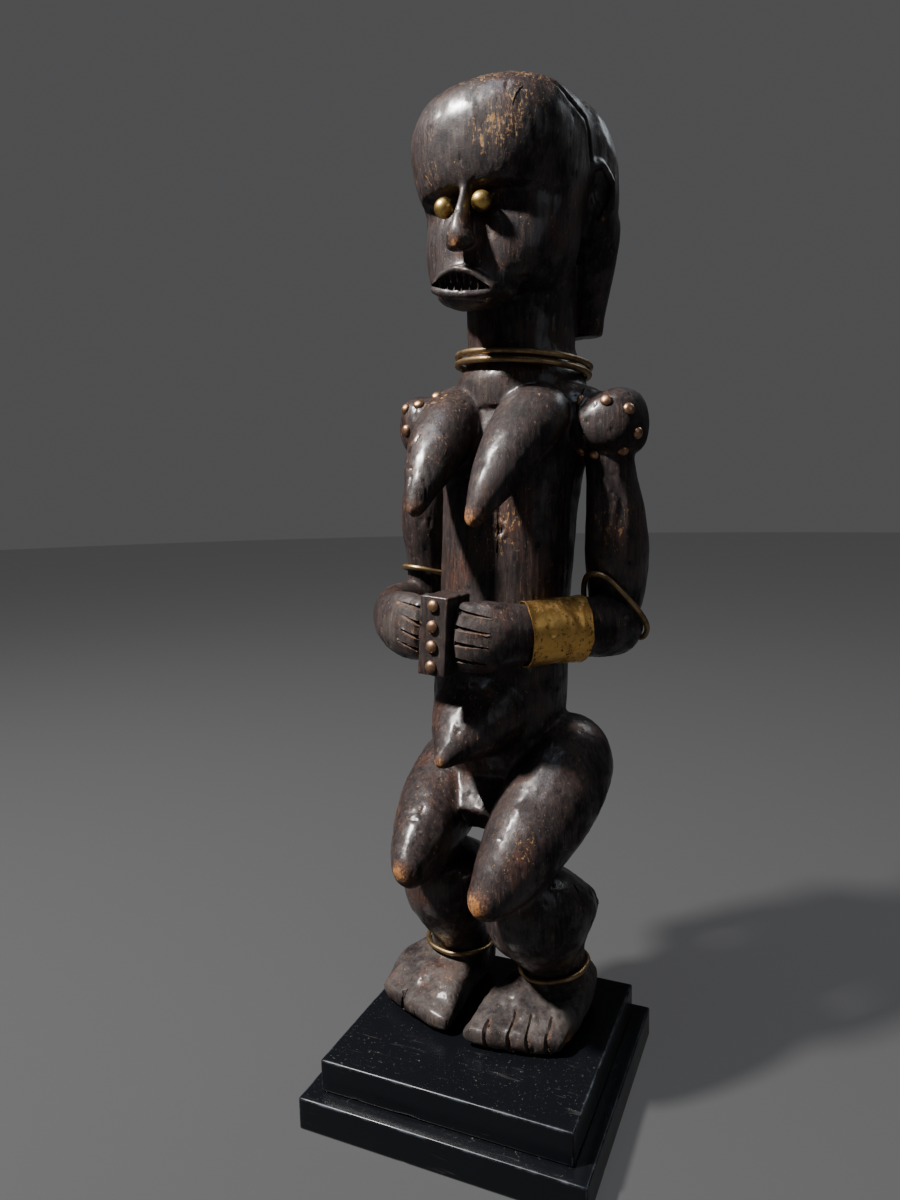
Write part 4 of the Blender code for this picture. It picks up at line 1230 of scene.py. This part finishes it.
def tack_places(tree):
    """Name: where each tack meets the wood, and the way it points."""
    found = {}
    for name, centre, directions in (
        ("tack_shoulder_left", LEFT_SHOULDER, LEFT_TACKS),
        ("tack_shoulder_right", RIGHT_SHOULDER, RIGHT_TACKS)
    ):
        for number, (azimuth, elevation) in enumerate(directions, 1):
            way = turned_way(facing(azimuth, elevation))
            hit, normal = tree.ray_cast(in_world(centre), way)[:2]
            found[f"{name}_{number}"] = (hit, (way + normal).normalized())
    forward = turned_way((0, -1, 0))
    up = turned_way(Matrix.Rotation(BLOCK_TILT, 3, "Y") @ Vector(Z_AXIS))
    deep, height = BLOCK[1:]
    for number in range(BLOCK_TACKS):
        rise = (0.5 - (number + 0.5) / BLOCK_TACKS) * height
        place = in_world(BLOCK_CENTRE) + forward * deep / 2 + rise * up
        found[f"tack_block_{number + 1}"] = (place, forward)
    return found


def make_tacks(sizes, finish):
    for number, (name, (place, out)) in enumerate(tack_places(wood_tree()).items()):
        profile = [
            (-0.0022, 0.0004), (-0.0018, 0.0010), (-TACK_SEAT, 0.0010), (-TACK_SEAT, sizes.tack_head * 0.97)
        ]
        for share in (0.0, 0.12, 0.3, 0.5, 0.68, 0.83, 0.94, 0.99):
            profile.append((TACK_HEAD_HEIGHT * share, sizes.tack_head * math.sqrt(1 - share**2)))
        bm = bmesh.new()
        turned_solid(bm, profile, place, out, 28)
        places = np.array([vert.co for vert in bm.verts])
        push(bm, 0.00012 * value_noise(places, 0.0022, 70 + number), Vector(out))
        place_piece(f"{name}_dome", bm, finish, [name])


def make_board(name, size, bottom, finish, seed):
    """A board with softened edges that are nicked here and there."""
    bm = bmesh.new()
    places = softened_box(bm, size, 0.0012, 0.01, 40)
    halves = np.array(size) / 2
    gaps = np.sort(halves - np.abs(places), axis=1)
    rim = hump(gaps[:, 1], 0.0016)
    nicks = 0.0006 * rim * soft_step(value_noise(places, 0.009, seed), 0.62, 0.9)
    inward = places / halves
    inward /= np.linalg.norm(inward, axis=1)[:, None]
    for vert, way, deep in zip(bm.verts, inward, nicks):
        vert.co -= Vector(way) * float(deep)
    place = SHIFT + Vector((0, 0, bottom + size[2] / 2))
    bmesh.ops.translate(bm, vec=place, verts=bm.verts)
    place_piece(f"{name}_lacquered", bm, finish, [name], sharp=60)


def stage_light(name, way, distance, size, energy, colour):
    toward = Vector(facing(*way))
    lamp = bpy.data.lights.new(name, "AREA")
    lamp.shape = "DISK"
    lamp.size = size
    lamp.energy = energy
    lamp.color = colour
    obj = linked(name, lamp)
    obj.location = Vector((0, 0, LIT_HEIGHT)) + distance * toward
    obj.rotation_euler = toward.to_track_quat("Z", "Y").to_euler()


def aim_camera():
    """The camera of the picture: its place over the plinth's middle, and how it is turned."""
    yaw, pitch, roll = CAMERA_TURN
    level = Matrix(((1, 0, 0), (0, 0, -1), (0, 1, 0)))
    tilt = Matrix.Rotation(roll, 3, "Z") @ Matrix.Rotation(pitch, 3, "X")
    seen = tilt @ level @ Matrix.Rotation(-yaw, 3, "Z")
    turn = seen.transposed() @ Matrix(((1, 0, 0), (0, -1, 0), (0, 0, -1)))
    camera = bpy.data.cameras.new("camera")
    camera.sensor_width = 36
    camera.lens = CAMERA_LENS
    camera.clip_start = 0.01
    obj = linked("camera", camera)
    obj.matrix_world = Matrix.Translation(Vector(CAMERA_PLACE) + SHIFT) @ turn.to_4x4()
    bpy.context.scene.camera = obj


CAMERA_PLACE = (0.18679914, -0.46809821, 0.37363637)
CAMERA_TURN = (0.41570369, 0.12569579, -0.01938585)
CAMERA_LENS = 25.4996
FLOOR_RADIUS = 7.0
LIT_HEIGHT = 0.3
# How strong the surroundings are as light, and as they are seen behind the piece.
WORLD_LIGHT, WORLD_SEEN = 0.28, 0.8
# Name: the way to it in degrees, how far off it is, its size, power and colour.
LIGHTS = (
    ("key", (-46, 50), 1.8, 0.16, 110, (1.0, 0.97, 0.94)),
    ("sky", (-20, 74), 1.7, 0.9, 7, (0.66, 0.80, 1.0)),
    ("fill", (62, 22), 2.0, 1.2, 2.0, (0.80, 0.88, 1.0)), ("rim", (150, 42), 1.8, 0.7, 4, (0.88, 0.94, 1.0))
)


def length(name, description, default, precision=5):
    return bpy.props.FloatProperty(
        name=name, description=description, default=default, unit="LENGTH", precision=precision
    )


class ReliquarySizes(bpy.types.PropertyGroup):
    fineness: length("Fineness", "The smallest form kept in the wood", 0.00115)
    triangles: bpy.props.IntProperty(
        name="Triangles", description="How many triangles the wood keeps", default=176000
    )
    tool_marks: length("Tool marks", "How deep the adze's scoops are", 0.0009)
    grain_depth: length("Grain", "How far the grain stands out", 0.00014)
    neck_wire: length("Neck wire", "Radius of the neck ring's wire", 0.002, 4)
    ring_slack: length("Ring slack", "Air between a ring and the wood", 0.0004)
    cuff_slack: length("Cuff slack", "Air between the cuff and the wood", 0.0014)
    cuff_sheet: length("Cuff sheet", "Thickness of the cuff's sheet", 0.0007)
    tack_head: length("Tack head", "Radius of a tack's head", TACK_HEAD_RADIUS, 4)


def paint(name, description, colour):
    return bpy.props.FloatVectorProperty(
        name=name, description=description, default=(*colour, 1), size=4, subtype="COLOR", min=0, max=1
    )


class ReliquaryColours(bpy.types.PropertyGroup):
    wood_black: paint("Black patina", "Wood in the grain's hollows", (0.005, 0.004, 0.005))
    wood_brown: paint("Brown wood", "Wood on the grain's ridges", (0.042, 0.027, 0.024))
    wood_red: paint("Red patches", "Reddish wood under a thin patina", (0.062, 0.027, 0.019))
    wood_fleck: paint("Grain flecks", "Pale short lines in the grain", (0.125, 0.078, 0.056))
    wood_rubbed: paint("Rubbed wood", "Wood where handling thinned the patina", (0.095, 0.048, 0.030))
    wood_worn: paint("Worn wood", "Bare wood at the most worn places", (0.40, 0.175, 0.058))
    wood_scraped: paint("Scraped wood", "Ochre wood in scrapes", (0.36, 0.20, 0.075))
    dust: paint("Dust", "Dust in hollows and on flat tops", (0.20, 0.18, 0.16))
    brass: paint("Old brass", "Rubbed brass of the wire", (0.36, 0.25, 0.125))
    brass_dark: paint("Brass stain", "Brown stain on old brass", (0.085, 0.052, 0.030))
    tack_copper: paint("Tack copper", "The coppery brown of the tacks", (0.44, 0.26, 0.155))
    eye_brass: paint("Eye brass", "The brighter brass of the eyes", (0.66, 0.44, 0.13))
    sheet: paint("Sheet brass", "The cuff's golden face", (0.82, 0.48, 0.135))
    sheet_brown: paint("Sheet stain", "Brown stain on the cuff", (0.42, 0.18, 0.05))
    sheet_speck: paint("Sheet specks", "Black specks on the cuff", (0.03, 0.02, 0.012))
    lacquer: paint("Lacquer", "The plinth's black", (0.0035, 0.004, 0.0055))
    lacquer_rubbed: paint("Rubbed lacquer", "The plinth's rubbed edges", (0.07, 0.08, 0.10))
    floor: paint("Floor", "The plain stage", (0.105, 0.105, 0.108))


class FigureMaker(bpy.types.Operator):
    """Carves the wooden figure"""

    bl_idname = "reliquary.figure"
    bl_label = "Wooden figure"

    def execute(self, context):
        sizes, colours = settings()
        mesh = carve_figure(sizes)
        settle("figure_wood", mesh, wood_finish(colours), ["figure"], sharp=50)
        return {"FINISHED"}


class EyeMaker(bpy.types.Operator):
    """Sets the two brass balls in the face"""

    bl_idname = "reliquary.eyes"
    bl_label = "Brass eyes"

    def execute(self, context):
        colours = settings()[1]
        make_eyes(brass_finish("eye_brass", colours.eye_brass, colours.brass_dark, 0.22, 160))
        return {"FINISHED"}


class TackMaker(bpy.types.Operator):
    """Drives the brass tacks into the shoulders and the block"""

    bl_idname = "reliquary.tacks"
    bl_label = "Brass tacks"

    def execute(self, context):
        sizes, colours = settings()
        make_tacks(sizes, brass_finish("tack_brass", colours.tack_copper, colours.brass_dark, 0.30, 190))
        return {"FINISHED"}


class RingMaker(bpy.types.Operator):
    """Bends the brass wire round the neck, the arms and the ankles"""

    bl_idname = "reliquary.rings"
    bl_label = "Brass rings"

    def execute(self, context):
        sizes, colours = settings()
        make_rings(sizes, brass_finish("wire_brass", colours.brass, colours.brass_dark, 0.30, 120))
        return {"FINISHED"}


class CuffMaker(bpy.types.Operator):
    """Bends the sheet of brass round the left forearm"""

    bl_idname = "reliquary.cuff"
    bl_label = "Wrist cuff"

    def execute(self, context):
        sizes, colours = settings()
        make_cuff(sizes, cuff_finish(colours))
        return {"FINISHED"}


class PlinthMaker(bpy.types.Operator):
    """Makes the two lacquered boards of the plinth"""

    bl_idname = "reliquary.plinth"
    bl_label = "Plinth"

    def execute(self, context):
        colours = settings()[1]
        for name, size, bottom, seed in (
            ("plinth_lower_board", LOWER_BOARD, 0, 81),
            ("plinth_upper_board", UPPER_BOARD, UPPER_BOTTOM, 82)
        ):
            make_board(name, size, bottom, lacquer_finish(colours, f"{name}_lacquer", size, bottom), seed)
        return {"FINISHED"}


class StageMaker(bpy.types.Operator):
    """Lays the floor, and sets the lights and the camera"""

    bl_idname = "reliquary.stage"
    bl_label = "Stage"

    def execute(self, context):
        colours = settings()[1]
        bm = bmesh.new()
        bmesh.ops.create_circle(bm, cap_ends=True, segments=96, radius=FLOOR_RADIUS)
        floor = linked("floor", mesh_from("floor", bm))
        floor.data.materials.append(floor_finish("stage_floor", colours.floor))
        for light in LIGHTS:
            stage_light(*light)
        world = bpy.data.worlds.new("studio")
        world.use_nodes = True
        context.scene.world = world
        background = world.node_tree.nodes["Background"]
        background.inputs["Color"].default_value = colours.floor
        seen = Value(world.node_tree).node("LightPath", output="Is Camera Ray")
        strength = seen.spread(WORLD_LIGHT, WORLD_SEEN).socket
        world.node_tree.links.new(strength, background.inputs["Strength"])
        aim_camera()
        return {"FINISHED"}


class ReliquaryPanel(bpy.types.Panel):
    bl_idname = "VIEW3D_PT_reliquary"
    bl_label = "Reliquary Figure"
    bl_space_type = "VIEW_3D"
    bl_region_type = "UI"
    bl_category = "Reliquary"

    def draw(self, context):
        for maker in MAKERS:
            self.layout.operator(maker.bl_idname)
        for group in settings():
            for name in group.__annotations__:
                self.layout.prop(group, name)


MAKERS = (StageMaker, FigureMaker, EyeMaker, TackMaker, RingMaker, CuffMaker, PlinthMaker)
CLASSES = (ReliquarySizes, ReliquaryColours, *MAKERS, ReliquaryPanel)


def register():
    for cls in CLASSES:
        bpy.utils.register_class(cls)
    bpy.types.Scene.reliquary_sizes = bpy.props.PointerProperty(type=ReliquarySizes)
    bpy.types.Scene.reliquary_colours = bpy.props.PointerProperty(type=ReliquaryColours)


def unregister():
    del bpy.types.Scene.reliquary_colours
    del bpy.types.Scene.reliquary_sizes
    for cls in reversed(CLASSES):
        bpy.utils.unregister_class(cls)


def main():
    register()
    bpy.ops.reliquary.stage()
    bpy.ops.reliquary.figure()
    bpy.ops.reliquary.eyes()
    bpy.ops.reliquary.tacks()
    bpy.ops.reliquary.rings()
    bpy.ops.reliquary.cuff()
    bpy.ops.reliquary.plinth()


if __name__ == "__main__":
    main()
